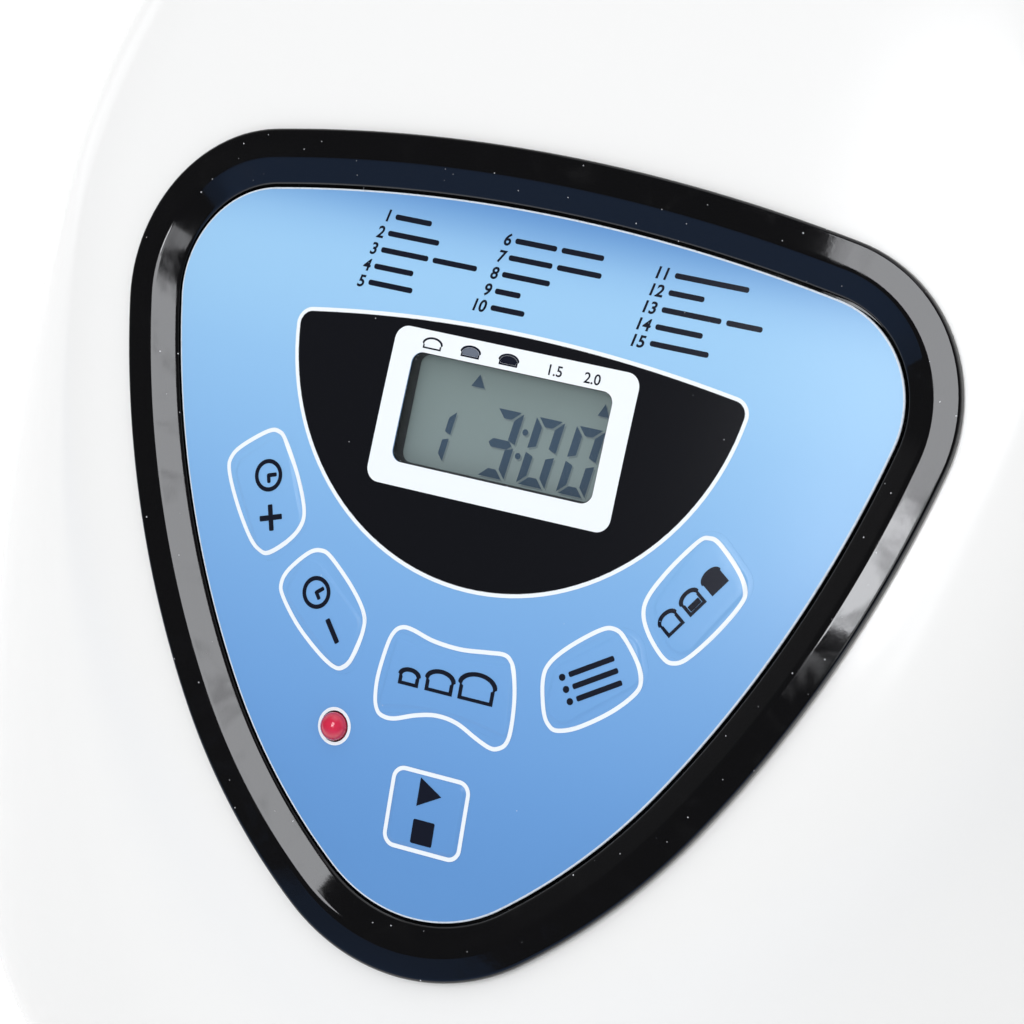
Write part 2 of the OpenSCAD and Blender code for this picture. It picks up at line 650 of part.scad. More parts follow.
module bearing_bushes() {
  color("#b58a4a") for (z = [chassis_z - 10, floor_z]) translate([0, chamber_y, z]) difference() {
    cylinder(r = bush_out - 0.02, h = 8);
    translate([0, 0, -1]) cylinder(r = shaft_r + running_gap, h = 10);
  }
}
module drive_shaft() {
  color(steel) translate([0, chamber_y, pulley_z - 3]) cylinder(r = shaft_r, h = dog_z + 3 - pulley_z + 3);
}
// Grooved wheel: seat is the belt's radius, hub and rim are joined by a thin web.
module grooved_wheel(seat, bore, hub, web) {
  edge = seat + flange_r;
  rotate_extrude() polygon(web > 0
    ? [[bore, 0], [hub, 0], [hub, web], [seat - 4, web], [seat - 4, 0], [edge, 0], [edge, 1.4], [seat, 2],
       [seat, pulley_h - 2], [edge, pulley_h - 1.4], [edge, pulley_h], [seat - 4, pulley_h],
       [seat - 4, web + 3], [hub, web + 3], [hub, pulley_h + 3], [bore, pulley_h + 3]]
    : [[bore, 0], [edge, 0], [edge, 1.4], [seat, 2], [seat, pulley_h - 2], [edge, pulley_h - 1.4],
       [edge, pulley_h], [bore, pulley_h]]);
}
module large_pulley() {
  color(dark) translate([0, chamber_y, pulley_z]) difference() {
    grooved_wheel(pulley_r, shaft_r + 0.01, 10, 4);
    for (a = [0:60:300]) rotate([0, 0, a]) translate([pulley_r * 0.56, 0, -1]) cylinder(r = 8, h = 20);
  }
}
module drive_dog() {
  color(steel) translate([0, chamber_y, dog_z]) {
    difference() {
      cylinder(r = dog_r, h = 4);
      translate([0, 0, -1]) cylinder(r = shaft_r + 0.01, h = 6);
    }
    for (a = [0, 180]) rotate([0, 0, a]) intersection() {
      translate([5, coupling_w / 2 + fit_gap, 3.9]) cube([10, 6, prong_h]);
      cylinder(r = dog_r, h = 20);
    }
  }
}
coupling_w = 5;
module motor() {
  z0 = chassis_z + chassis_t + mount_t;
  color("#8b8f94") translate([motor_at[0], motor_at[1], z0]) difference() {
    union() {
      rotate_extrude() polygon([[0, 0], [14, 0], [14, 3], [motor_r - 4, 5], [motor_r - 4, 12], [motor_r, 12],
        [motor_r, 44], [motor_r - 4, 44], [motor_r - 4, 51], [14, 54], [14, 57], [0, 57]]);
      for (a = [45:90:315]) rotate([0, 0, a]) translate([motor_r - 6, -4, 0]) cube([8, 8, 14]);
    }
    translate([0, 0, -1]) cylinder(r = motor_shaft_r + running_gap, h = 70);
  }
}
motor_shaft_r = 3;
module motor_mount() {
  color(steel) translate([motor_at[0], motor_at[1], chassis_z + chassis_t]) difference() {
    linear_extrude(mount_t) soft_rect(64, 64, 8);
    translate([0, 0, -1]) cylinder(r = 9, h = 6);
  }
}
fan_z = chassis_z + chassis_t + mount_t + 59;
module motor_shaft() {
  color(steel) translate([motor_at[0], motor_at[1], pulley_z - 2]) cylinder(r = motor_shaft_r, h = fan_z + 6 - pulley_z + 2);
}
module small_pulley() {
  color(dark) translate([motor_at[0], motor_at[1], pulley_z]) grooved_wheel(motor_pulley_r, motor_shaft_r + 0.01, 0, 0);
}
fan_r = 25;
module motor_fan() {
  color(dark) translate([motor_at[0], motor_at[1], fan_z]) {
    difference() {
      cylinder(r = 8, h = 7);
      translate([0, 0, -1]) cylinder(r = motor_shaft_r + 0.01, h = 10);
    }
    for (a = [0:40:320]) rotate([0, 0, a]) translate([7, 0, 0.5]) rotate([35, 0, 0]) translate([0, -0.6, 0]) cube([fan_r - 7, 1.2, 7]);
  }
}
module belt_loop(extra) {
  hull() {
    translate([0, chamber_y]) circle(pulley_r + extra, $fn = 96);
    translate(motor_at) circle(motor_pulley_r + extra, $fn = 48);
  }
}
module drive_belt() {
  color(black) translate([0, 0, belt_z]) linear_extrude(belt_w) difference() {
    belt_loop(0.12 + belt_t);
    belt_loop(0.12);
  }
}
module run_capacitor() {
  color(white) translate([21 - chamber_w / 2, chamber_y - chamber_d / 2 - 55, chassis_z + chassis_t]) {
    linear_extrude(34) soft_rect(22, 38, 3);
    for (y = [-6, 6]) translate([-0.4, y - 3, 33.9]) cube([0.8, 6, 8]);
  }
}
supply_at = [13 - chamber_w / 2, chamber_y - 14];
module power_board() {
  z0 = base_z + plate_thick;
  color("#3d7a4a") translate([supply_at[0], supply_at[1], z0]) {
    for (x = [-14, 14]) for (y = [-32, 32]) translate([x, y, 0]) cylinder(r = 2.5, h = 6.1);
    translate([-18, -38, 6]) cube([36, 76, 1.6]);
    translate([-14, -32, 7.5]) cube([26, 28, 20]);
    translate([-12, 4, 7.5]) cube([18, 12, 14]);
    translate([-12, 20, 7.5]) cube([22, 10, 10]);
  }
}
module thermal_fuse() {
  color(steel) translate([chamber_out_w / 2 + 4.3, chamber_y + 20, floor_z + 30]) rotate([90, 0, 0]) {
    cylinder(r = 2, h = 12);
    translate([-4.28, -1, 0]) cube([4.4, 2, 12]);
  }
}
module cord_gland() {
  y0 = wall_y(gland_x, gland_z);
  color(dark) translate([gland_x, y0 - 9, gland_z]) rotate([-90, 0, 0]) difference() {
    union() {
      cylinder(r = gland_r - 0.1, h = 12);
      translate([0, 0, 9.5]) cylinder(r = gland_r + 2, h = 3.4);
      cylinder(r = gland_r + 1.6, h = 3);
    }
    translate([0, 0, -1]) cylinder(r = 3.6, h = 20);
  }
}

// ---- Hinge ----
pin_r = 2.5;
pin_x0 = 22;
bracket_w = 8;
knuckle_x = pin_x0 + bracket_w + fit_gap;
knuckle_w = 10;
knuckle_r = 5;
module hinge_brackets() {
  y1 = rear_y + fit_gap;
  color(white) both_sides() translate([pin_x0, 0, 0]) rotate([90, 0, 90]) linear_extrude(bracket_w) difference() {
    union() {
      translate([y1, hinge_z - 26]) square([hinge_y - y1, 26]);
      translate([hinge_y, hinge_z]) circle(knuckle_r);
      polygon([[y1, hinge_z - 26], [hinge_y + knuckle_r - 1, hinge_z - 18], [hinge_y + knuckle_r, hinge_z], [y1, hinge_z]]);
    }
    translate([hinge_y, hinge_z]) circle(pin_r + 0.01);
  }
}
module hinge_pins() {
  color(steel) both_sides() translate([pin_x0 + 1, hinge_y, hinge_z]) rotate([0, 90, 0])
    cylinder(r = pin_r, h = bracket_w + knuckle_w + 0.5);
}

// ---- Lid, modelled closed and then turned about its hinge ----
module opened() {
  translate([0, hinge_y, hinge_z]) rotate([-lid_open, 0, 0]) translate([0, -hinge_y, -hinge_z]) children();
}
lid_z = seam_z + seam_gap;
lid_y = (face_y(0, seam_z, 0) + rear_y) / 2;
dome_shares = [1, 0.995, 0.98, 0.95, 0.9, 0.82, 0.7, 0.55, 0.35, 0.12];
function lid_ring(s, e) = [for (p = ring(seam_z, e))
  [p[0] * s, lid_y + (p[1] - lid_y) * s, lid_z + (lid_h - seam_gap - e) * pow(1 - pow(s, lid_power), 1 / lid_power)]];
pane_z = lid_z + lid_h * 0.9;
lid_boss_at = [[body_w * 0.213, nose_y + front_space - 15], [body_w * 0.279, rear_y - back_space - 13]];
module lid_shell() {
  color(white) opened() difference() {
    union() {
      capped_loft(concat([[for (p = lid_ring(1, wall)) [0.12 * p[0], lid_y + 0.12 * (p[1] - lid_y), lid_z + lid_h - seam_gap - wall]]],
        [for (i = [len(dome_shares) - 2:-1:0]) lid_ring(dome_shares[i], wall)], [for (s = dome_shares) lid_ring(s, 0)]));
      intersection() {
        for (b = lid_boss_at) both_sides() translate([b[0], b[1], lid_z + 2.9]) cylinder(r = 4, h = lid_h);
        capped_loft([for (s = dome_shares) lid_ring(s, wall * 0.4)]);
      }
      both_sides() translate([knuckle_x, hinge_y, hinge_z]) rotate([0, 90, 0]) cylinder(r = knuckle_r, h = knuckle_w);
      both_sides() translate([knuckle_x, rear_y - wall, lid_z]) cube([knuckle_w, hinge_y - rear_y + wall, 4]);
    }
    translate([0, lid_y, lid_z + 20]) linear_extrude(60) soft_rect(window_w, window_d, window_d / 2 - 1);
    for (b = lid_boss_at) both_sides() translate([b[0], b[1], lid_z]) cylinder(r = 1.3, h = 18);
    for (i = [-4:4]) translate([9 * i - 1.5, lid_y + 62, lid_z + 20]) cube([3, 22, 60]);
    both_sides() translate([knuckle_x - 1, hinge_y, hinge_z]) rotate([0, 90, 0]) cylinder(r = pin_r + running_gap, h = knuckle_w + 2);
  }
}
plug_w = chamber_w + 4;
plug_d = chamber_d + 4;
plug_r = chamber_r + 2;
gasket_t = 2.4;
tray_z = lid_z + 1.4;
module lid_liner() {
  t = 1.2;
  color(steel) opened() difference() {
    union() {
      translate([0, 0, tray_z]) linear_extrude(t) polygon(flat_ring(seam_z, wall + fit_gap + 0.3));
      translate([0, chamber_y, liner_top + sheet_t + 1]) linear_extrude(tray_z - liner_top - sheet_t - 0.9) frame_2d(plug_w, plug_d, plug_r, t);
      translate([0, lid_y, tray_z]) linear_extrude(pane_z - tray_z - 0.05) frame_2d(window_w - 8, window_d - 8, window_d / 2 - 5, t);
    }
    translate([0, lid_y, tray_z - 1]) linear_extrude(5) soft_rect(window_w - 8 - 2 * t, window_d - 8 - 2 * t, window_d / 2 - 5 - t);
    for (b = lid_boss_at) both_sides() translate([b[0], b[1], tray_z - 1]) cylinder(r = 1.6, h = 5);
    for (i = [-4:4]) translate([9 * i - 1.5, lid_y + 48, tray_z - 1]) cube([3, 14, 5]);
  }
}
module lid_window() {
  color("#c8d4d8") opened() translate([0, lid_y, pane_z]) linear_extrude(2.4)
    soft_rect(window_w - 2 * fit_gap - 4, window_d - 2 * fit_gap - 4, window_d / 2 - fit_gap - 3);
}
module window_frame() {
  w = window_w - 2 * fit_gap;
  d = window_d - 2 * fit_gap;
  r = d / 2 - 1;
  color(black) opened() translate([0, lid_y, pane_z]) {
    linear_extrude(lid_z + lid_h - pane_z + 0.4) frame_2d(w, d, r, 1.9);
    translate([0, 0, 2.45]) linear_extrude(lid_z + lid_h - pane_z - 2.05) frame_2d(w - 3, d - 3, r - 1.5, 3);
  }
}
module lid_gasket() {
  color("#d9d6cf") opened() translate([0, chamber_y, liner_top + sheet_t + fit_gap])
    linear_extrude(tray_z - liner_top - sheet_t - fit_gap)
    frame_2d(plug_w + 0.1 + 2 * gasket_t, plug_d + 0.1 + 2 * gasket_t, plug_r + 0.05 + gasket_t, gasket_t);
}
module lid_screws() {
  color(steel) opened() for (b = lid_boss_at) both_sides() translate([b[0], b[1], tray_z - 1.8]) screw(3, 1.8, 1.25, 12);
}

// ---- Bread pan and its drive ----
pan_z = floor_z + 28;
taper = 6;
pan_r = 26;
pan_top = pan_z + pan_h;
module pan_loft(inset, z0, z1) {
  wide = function(z) (z - pan_top) / pan_h * taper - 2 * inset;
  capped_loft([for (z = [z0, z0 + 3, z1]) let (round = z == z0 ? 4 : 0)
    soft_rect_ring(pan_w + wide(z) - round, pan_d + wide(z) - round, pan_r - inset - round / 2, z)]);
}
module bread_pan() {
  color(nonstick) translate([0, chamber_y, 0]) difference() {
    union() {
      pan_loft(0, pan_z, pan_top);
      translate([0, 0, pan_top - 2]) linear_extrude(2) soft_rect(pan_w + 2 * rim_w, pan_d + 2 * rim_w, pan_r + rim_w);
    }
    pan_loft(pan_t, pan_z + pan_t + 0.4, pan_top + 1);
    translate([0, 0, pan_z - 1]) cylinder(r = pan_bush_r, h = 10);
  }
}
pan_bush_r = 8;
module pan_collar() {
  z0 = floor_z + sheet_t + fit_gap;
  color("#9a9da1") translate([0, chamber_y, z0]) difference() {
    rotate_extrude() polygon([[collar_r - 2.2, 0.8], [collar_r - 1.6, 0], [collar_r - 0.8, 0], [collar_r, 1.4],
      [collar_r, pan_z - z0], [collar_r - 8, pan_z - z0], [collar_r - 8, pan_z - z0 - 1.5], [collar_r - 2.2, pan_z - z0 - 1.5]]);
    for (a = [0:90:270]) rotate([0, 0, a + 45]) translate([0, -4, 6]) cube([collar_r + 5, 8, 10]);
  }
}
module pan_bush() {
  color("#b58a4a") translate([0, chamber_y, pan_z - 3]) difference() {
    union() {
      cylinder(r = pan_bush_r - 0.02, h = 8);
      cylinder(r = pan_bush_r + 4, h = 2.98);
    }
    translate([0, 0, -1]) cylinder(r = shaft_r + running_gap, h = 12);
  }
}
module pan_seal() {
  color("#8a3b32") translate([0, chamber_y, pan_z + 5]) difference() {
    cylinder(r = pan_bush_r - 0.6, h = 1.6);
    translate([0, 0, -1]) cylinder(r = shaft_r + running_gap, h = 4);
  }
}
ear_t = 1.6;
ear_w = 16;
bail_r = bail_d / 2;
bail_z = pan_top + bail_r + fit_gap;
ear_x = pan_w / 2 + rim_w;
module pan_ears() {
  color(steel) both_sides() translate([ear_x, chamber_y, 0]) rotate([90, 0, 90]) linear_extrude(ear_t) difference() {
    union() {
      translate([-ear_w / 2, pan_top - 10]) square([ear_w, bail_z - pan_top + 10]);
      translate([0, bail_z]) circle(ear_w / 2);
    }
    translate([0, bail_z]) circle(bail_r + 0.06);
  }
}
module pan_shaft() {
  color(steel) translate([0, chamber_y, dog_z + 4.3]) intersection() {
    cylinder(r = shaft_r, h = pan_z + 34 - dog_z - 4.3);
    union() {
      translate([-10, -10, 0]) cube([20, 20, pan_z + 7 - dog_z - 4.3]);
      translate([-10, -10, 0]) cube([10 + shaft_r - 1, 20, 80]);
    }
  }
}
module pan_coupling() {
  z0 = dog_z + 4.6;
  color(steel) translate([0, chamber_y, z0]) difference() {
    union() {
      intersection() {
        translate([-dog_r, -coupling_w / 2, 0]) cube([2 * dog_r, coupling_w, pan_z - 3.3 - z0]);
        cylinder(r = dog_r - 0.5, h = 20);
      }
      cylinder(r = coupling_w, h = pan_z - 3.3 - z0);
    }
    translate([0, 0, -1]) cylinder(r = shaft_r + 0.01, h = 20);
  }
}
paddle_gap = 0.12;
paddle_z = pan_z + 7;
module kneading_paddle() {
  color(nonstick) translate([0, chamber_y, 0]) difference() {
    union() {
      translate([0, 0, paddle_z]) cylinder(r1 = 9.5, r2 = 7, h = 26);
      translate([0, 2.5, 0]) rotate([90, 0, 0]) linear_extrude(5) polygon([[6, paddle_z], [10.5, paddle_z],
        [10.5, pan_z + 3.6], [paddle_r - 3, pan_z + 3.6], [paddle_r, pan_z + 8], [paddle_r - 2, pan_z + 18],
        [paddle_r - 10, pan_z + 24], [30, pan_z + 25], [6, pan_z + 30]]);
    }
    intersection() {
      translate([0, 0, paddle_z - 1]) cylinder(r = shaft_r + paddle_gap, h = 60);
      translate([-10, -10, paddle_z - 1]) cube([10 + shaft_r - 1 + paddle_gap, 20, 60]);
    }
  }
}
bail_reach = pan_d / 2 + -3;
module pan_handle() {
  x = ear_x + ear_t + bail_r + 1.2;
  c = 12;
  color(steel) translate([0, chamber_y, bail_z]) {
    both_sides() {
      translate([ear_x - 1.5, 0, 0]) rotate([0, 90, 0]) cylinder(r = bail_r, h = x - ear_x + 1.5);
      translate([x, 0, 0]) sphere(bail_r);
      translate([x, 0, 0]) rotate([-90, 0, 0]) cylinder(r = bail_r, h = bail_reach - c);
      translate([x - c, bail_reach - c, 0]) rotate_extrude(angle = 90) translate([c, 0]) circle(bail_r);
    }
    translate([-x + c, bail_reach, 0]) rotate([0, 90, 0]) cylinder(r = bail_r, h = 2 * (x - c));
  }
}

housing();
side_panels();
rear_cover();
base_plate();
feet();
case_screws();
top_deck();
panel_bezel();
panel_plate();
lcd_window();
lcd_module();
power_led();
control_board();
tact_switches();
chamber_liner();
pan_seat();
pan_clips();
heating_element();
element_supports();
element_bushes();
temperature_sensor();
chassis();
bearing_housing();
bearing_bushes();
motor();
motor_mount();
drive_belt();
run_capacitor();
power_board();
thermal_fuse();
cord_gland();
hinge_brackets();
hinge_pins();
drive_shaft();
large_pulley();
drive_dog();
motor_shaft();
small_pulley();
motor_fan();
bread_pan();
pan_collar();
pan_bush();
pan_seal();
pan_ears();
pan_shaft();
pan_coupling();
kneading_paddle();
pan_handle();
lid_shell();
lid_liner();
lid_window();
window_frame();
lid_gasket();
lid_screws();
key(0);  // key_time_up
key(1);  // key_time_down
key(2);  // key_loaf_size
key(3);  // key_menu
key(4);  // key_crust_colour
key(5);  // key_start_stop
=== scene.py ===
# %% [markdown]
# # A bread machine, dressed for the studio
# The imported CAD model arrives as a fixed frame: every node already stands in its place, in metres. We keep
# the nodes whose shape is right and give them materials, and we build finer pieces for what the eye rests
# on: the glossy shell, the lid, the black bezel and the printed film of the control panel.

# %% Load the frame
import json
import math
import bmesh
import bpy
import numpy as np
from mathutils import Matrix, Vector
from mathutils.geometry import delaunay_2d_cdt


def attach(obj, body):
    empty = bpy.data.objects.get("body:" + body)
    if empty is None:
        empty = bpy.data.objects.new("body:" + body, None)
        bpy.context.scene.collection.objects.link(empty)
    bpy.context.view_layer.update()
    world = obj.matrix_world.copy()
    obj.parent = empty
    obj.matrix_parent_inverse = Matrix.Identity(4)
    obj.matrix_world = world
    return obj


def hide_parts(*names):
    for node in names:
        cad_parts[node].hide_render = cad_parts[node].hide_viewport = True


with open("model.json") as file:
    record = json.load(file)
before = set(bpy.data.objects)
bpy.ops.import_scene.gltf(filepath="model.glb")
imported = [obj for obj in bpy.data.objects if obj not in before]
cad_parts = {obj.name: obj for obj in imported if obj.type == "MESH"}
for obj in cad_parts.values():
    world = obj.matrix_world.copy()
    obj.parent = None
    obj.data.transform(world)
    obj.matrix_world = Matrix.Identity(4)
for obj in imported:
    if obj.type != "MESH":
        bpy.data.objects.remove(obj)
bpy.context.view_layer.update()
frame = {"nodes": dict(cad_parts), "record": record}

# %% [markdown]
# ## Where the panel lies
# The control panel leans back at 66 degrees and is slightly domed. Its own plane has X to the right, Y up
# the slope and Z out of the surface, in millimetres, with the origin at the dome's top. One matrix carries
# any point of that plane into the room, so that all of the panel can be drawn flat.

# %% The panel's plane
MM = 0.001
PANEL_TILT = math.radians(66)
PANEL_Y, PANEL_Z = -159.606, 151.7
DOME_R = 620.0
tilt = Matrix.Rotation(PANEL_TILT, 4, "X")
in_panel = Matrix.Translation((0, PANEL_Y, PANEL_Z)) @ tilt
panel_seat = Matrix.Translation((0, PANEL_Y * MM, PANEL_Z * MM)) @ tilt
to_room = Matrix.Diagonal((MM, MM, MM, 1)) @ Matrix.Translation((0, PANEL_Y, PANEL_Z)) @ tilt
AT_ORIGIN = Matrix.Identity(4)


def dome(x, y):
    """Height of the dome at a point of the plane; it is 0 at the top and falls away on all sides."""
    return -(x * x + y * y) / (2 * DOME_R)


print("the dome falls", round(-dome(70, 0), 2), "mm on the way to the panel's side")

# %% [markdown]
# ## The camera
# A long lens looks at the panel from the front right and a little above, so the lines stay almost parallel.
# Its place is given in the panel's plane, because that is what it is aimed at. An aiming constraint would
# do for a level camera, but this one is rolled a little, so its three axes are set directly.

# %% Camera
RENDER_PIXELS, SENSOR_WIDTH, FOCAL_PIXELS = 1024, 36, 4739.03
CAMERA_AT = Vector((369.19, 38.16, 710.77))
CAMERA_AXES = [(0.8677, 0.2019, -0.4542), (-0.2008, 0.9783, 0.0512), (0.4547, 0.0468, 0.8894)]


def put(name, data):
    """An object made from its data and linked to the scene."""
    thing = bpy.data.objects.new(name, data)
    bpy.context.scene.collection.objects.link(thing)
    return thing


def place_camera():
    data = bpy.data.cameras.new("camera")
    data.sensor_width = SENSOR_WIDTH
    data.lens = FOCAL_PIXELS * SENSOR_WIDTH / RENDER_PIXELS
    data.clip_start, data.clip_end = 0.05, 20
    camera = put("camera", data)
    turn = tilt.to_3x3() @ Matrix(CAMERA_AXES).transposed()
    camera.matrix_world = Matrix.Translation(to_room @ CAMERA_AT) @ turn.to_4x4()
    bpy.context.scene.camera = camera
    return camera


camera = place_camera()
bpy.context.scene.view_settings.view_transform = "Standard"
print("camera at", [round(v, 3) for v in camera.location], "with a lens of", round(camera.data.lens), "mm")

# %% [markdown]
# ## Shader groups that several finishes share
# Real surfaces are never even. Four effects come back on many pieces here: fine dust, the faint waviness of
# moulded plastic, the short lines of brushed metal, and the speckle of a sprayed coat. Each could be drawn
# anew in every material, but as a node group with named inputs it is built once, while every material sets
# its own amounts and keeps its own shader.

# %% Tools for nodes
def add(tree, kind, inputs=(), **settings):
    """A node with its settings made, and each named input linked to a socket or set to a value."""
    node = tree.nodes.new(kind)
    for key, value in settings.items():
        setattr(node, key, value)
    for socket, value in dict(inputs).items():
        if hasattr(value, "is_output"):
            tree.links.new(value, node.inputs[socket])
        else:
            node.inputs[socket].default_value = value
    return node


def math_node(tree, operation, a, b=0.0, clamp=False):
    return add(tree, "ShaderNodeMath", {0: a, 1: b}, operation=operation, use_clamp=clamp).outputs[0]


def remap(tree, value, low, high, new_low=0.0, new_high=1.0):
    return add(tree, "ShaderNodeMapRange", {0: value, 1: low, 2: high, 3: new_low, 4: new_high}).outputs[0]


def noise(tree, place, scale, detail=2.0, **more):
    inputs = {"Vector": place, "Scale": scale, "Detail": detail, **more}
    return add(tree, "ShaderNodeTexNoise", inputs).outputs["Fac"]


def blend_colour(tree, factor, a, b):
    return add(tree, "ShaderNodeMix", {0: factor, 6: a, 7: b}, data_type="RGBA").outputs[2]


def srgb(r, g, b):
    """A colour as a paint program names it, turned into the linear values that a shader reads."""
    return tuple(((v / 255 + 0.055) / 1.055) ** 2.4 if v > 10 else v / 255 / 12.92 for v in (r, g, b)) + (1.0,)


def darker(colour, share):
    return tuple(c * share for c in colour[:3]) + (1.0,)


print("half grey, as a shader reads it:", round(srgb(128, 128, 128)[0], 3))

# %% Start of a node group
def node_group(name, outputs, **inputs):
    """A group that takes a Position and the named inputs, numbers or vectors, and puts out numbers."""
    group = bpy.data.node_groups.new(name, "ShaderNodeTree")
    for label, value in {"Position": (0, 0, 0), **inputs}.items():
        kind = "NodeSocketVector" if isinstance(value, tuple) else "NodeSocketFloat"
        group.interface.new_socket(name=label, in_out="INPUT", socket_type=kind).default_value = value
    for label in outputs:
        group.interface.new_socket(name=label, in_out="OUTPUT", socket_type="NodeSocketFloat")
    print("group", name, "takes", ["Position", *inputs], "and gives", outputs)
    return group, group.nodes.new("NodeGroupInput").outputs, group.nodes.new("NodeGroupOutput").inputs


# %% Dust: sparse pale specks
def make_dust():
    group, given, result = node_group("dust_specks", ["Mask"], Scale=300.0, Size=0.09, Amount=0.2)
    cells = add(group, "ShaderNodeTexVoronoi", {"Vector": given["Position"], "Scale": given["Scale"]})
    near = math_node(group, "LESS_THAN", cells.outputs["Distance"], given["Size"])
    lottery = add(group, "ShaderNodeSeparateColor", {0: cells.outputs["Color"]})
    chosen = math_node(group, "LESS_THAN", lottery.outputs[0], given["Amount"])
    faint = math_node(group, "MULTIPLY", math_node(group, "MULTIPLY", near, chosen), lottery.outputs[1])
    group.links.new(faint, result["Mask"])
    return group


dust_specks = make_dust()

# %% Moulded waviness: the slow ripple that a gloss moulding shows in its reflections
def make_ripple():
    group, given, result = node_group("moulded_ripple", ["Height"], Broad=18.0, Fine=900.0, Grain=0.12)
    broad = noise(group, given["Position"], given["Broad"], 1.0)
    grain = math_node(group, "MULTIPLY", noise(group, given["Position"], given["Fine"]), given["Grain"])
    group.links.new(math_node(group, "ADD", broad, grain), result["Height"])
    return group


moulded_ripple = make_ripple()

# %% Brushed lines: noise drawn out along one direction
def make_brushing():
    group, given, result = node_group("brushed_lines", ["Height", "Roughness"], Stretch=(1, 1, 60), Scale=60.0,
                                      Low=0.2, High=0.45)
    squeezed = add(group, "ShaderNodeVectorMath", {0: given["Position"], 1: given["Stretch"]},
                   operation="MULTIPLY")
    lines = noise(group, squeezed.outputs[0], given["Scale"], 3.0, Roughness=0.7)
    group.links.new(lines, result["Height"])
    group.links.new(remap(group, lines, 0.3, 0.7, given["Low"], given["High"]), result["Roughness"])
    return group


brushed_lines = make_brushing()

# %% Sprayed speckle: small soft spots, as on nonstick coats and cast skins
def make_speckle():
    group, given, result = node_group("sprayed_speckle", ["Mask", "Height"], Scale=700.0, Threshold=0.62)
    spots = noise(group, given["Position"], given["Scale"], Roughness=0.6)
    soft_edge = math_node(group, "ADD", given["Threshold"], 0.08)
    group.links.new(remap(group, spots, given["Threshold"], soft_edge), result["Mask"])
    group.links.new(spots, result["Height"])
    return group


sprayed_speckle = make_speckle()

# %% [markdown]
# ## The finishes
# One function starts a material with its Principled shader and a place on the surface; each finish then
# adds the detail it shows in life. Constants such as index of refraction or coat are set straight on the
# shader's own sockets, and only what changes over the surface is wired.

# %% Start of every material
DUST_GREY = (0.75, 0.76, 0.8, 1)


def finish_base(name, colour, rough, metal=0.0, **sockets):
    material = bpy.data.materials.new(name)
    material.use_nodes = True
    tree = material.node_tree
    shader = tree.nodes["Principled BSDF"]
    shader.inputs["Base Color"].default_value = colour
    shader.inputs["Roughness"].default_value = rough
    shader.inputs["Metallic"].default_value = metal
    for key, value in sockets.items():
        shader.inputs[key.replace("_", " ")].default_value = value
    place = add(tree, "ShaderNodeTexCoord").outputs["Object"]
    print("finish", name)
    return material, tree, shader, place


def use_group(tree, group, place, **values):
    return add(tree, "ShaderNodeGroup", {"Position": place, **values}, node_tree=group).outputs


def dust_mask(tree, place, dust):
    scale, size, amount = dust
    return use_group(tree, dust_specks, place, Scale=scale, Size=size, Amount=amount)["Mask"]


def bump_into(tree, shader, height, strength, distance):
    bump = add(tree, "ShaderNodeBump", {"Height": height, "Strength": strength, "Distance": distance})
    tree.links.new(bump.outputs[0], shader.inputs["Normal"])


# %% [markdown]
# ### Plastics and rubbers
# The shell is polished white plastic and the bezel is the same in black, with dust that only black shows.
# Plain shader values would give a surface that is too perfect. A very low wave in the normal bends its
# reflections as a real moulding does, and wiped streaks in the roughness dull the gloss in places. Rubber,
# silicone and ceramic are matt, so their fine pores do the work instead.

# %% Gloss plastics
def gloss_plastic(name, colour, rough=0.12, ripple=0.25, dust=None, coat=0.0, tone=0.03, smear=0.0):
    material, tree, shader, place = finish_base(name, colour, rough, Coat_Weight=coat, Coat_Roughness=0.04)
    bump_into(tree, shader, use_group(tree, moulded_ripple, place)["Height"], ripple, 0.0004)
    base = blend_colour(tree, noise(tree, place, 9.0), darker(colour, 1 - tone), colour)
    if dust:
        specks = dust_mask(tree, place, dust)
        base = blend_colour(tree, specks, base, DUST_GREY)
        wiped = noise(tree, place, 70.0, 4.0, Distortion=1.5)
        streak = remap(tree, wiped, 0.5, 0.72, rough, rough + smear)
        tree.links.new(math_node(tree, "ADD", specks, streak, clamp=True), shader.inputs["Roughness"])
    tree.links.new(base, shader.inputs["Base Color"])
    return material


white_shell = gloss_plastic("white_shell_gloss", srgb(243, 243, 242), rough=0.16, ripple=0.12, tone=0.012)
white_inner = gloss_plastic("white_inner_satin", srgb(236, 236, 233), rough=0.42, ripple=0.3)
bezel_black = gloss_plastic("bezel_black_gloss", srgb(9, 9, 11), rough=0.05, ripple=0.06,
                            dust=(620.0, 0.075, 0.30), coat=0.4, tone=0.1, smear=0.16)
groove_black = gloss_plastic("groove_black_dusty", srgb(9, 9, 11), rough=0.6, ripple=0.5,
                             dust=(2600.0, 0.3, 0.30))
dark_plastic = gloss_plastic("dark_moulding", srgb(38, 40, 44), rough=0.4, ripple=0.5)
frame_black = gloss_plastic("window_frame_black", srgb(24, 25, 28), rough=0.15, ripple=0.1)

# %% Rubber, silicone and ceramic
def soft_matt(name, colour, rough, scale=1200.0, strength=0.25):
    material, tree, shader, place = finish_base(name, colour, rough)
    pores = use_group(tree, sprayed_speckle, place, Scale=scale, Threshold=0.55)
    bump_into(tree, shader, pores["Height"], strength, 0.0003)
    tree.links.new(blend_colour(tree, pores["Mask"], colour, darker(colour, 0.86)), shader.inputs["Base Color"])
    return material


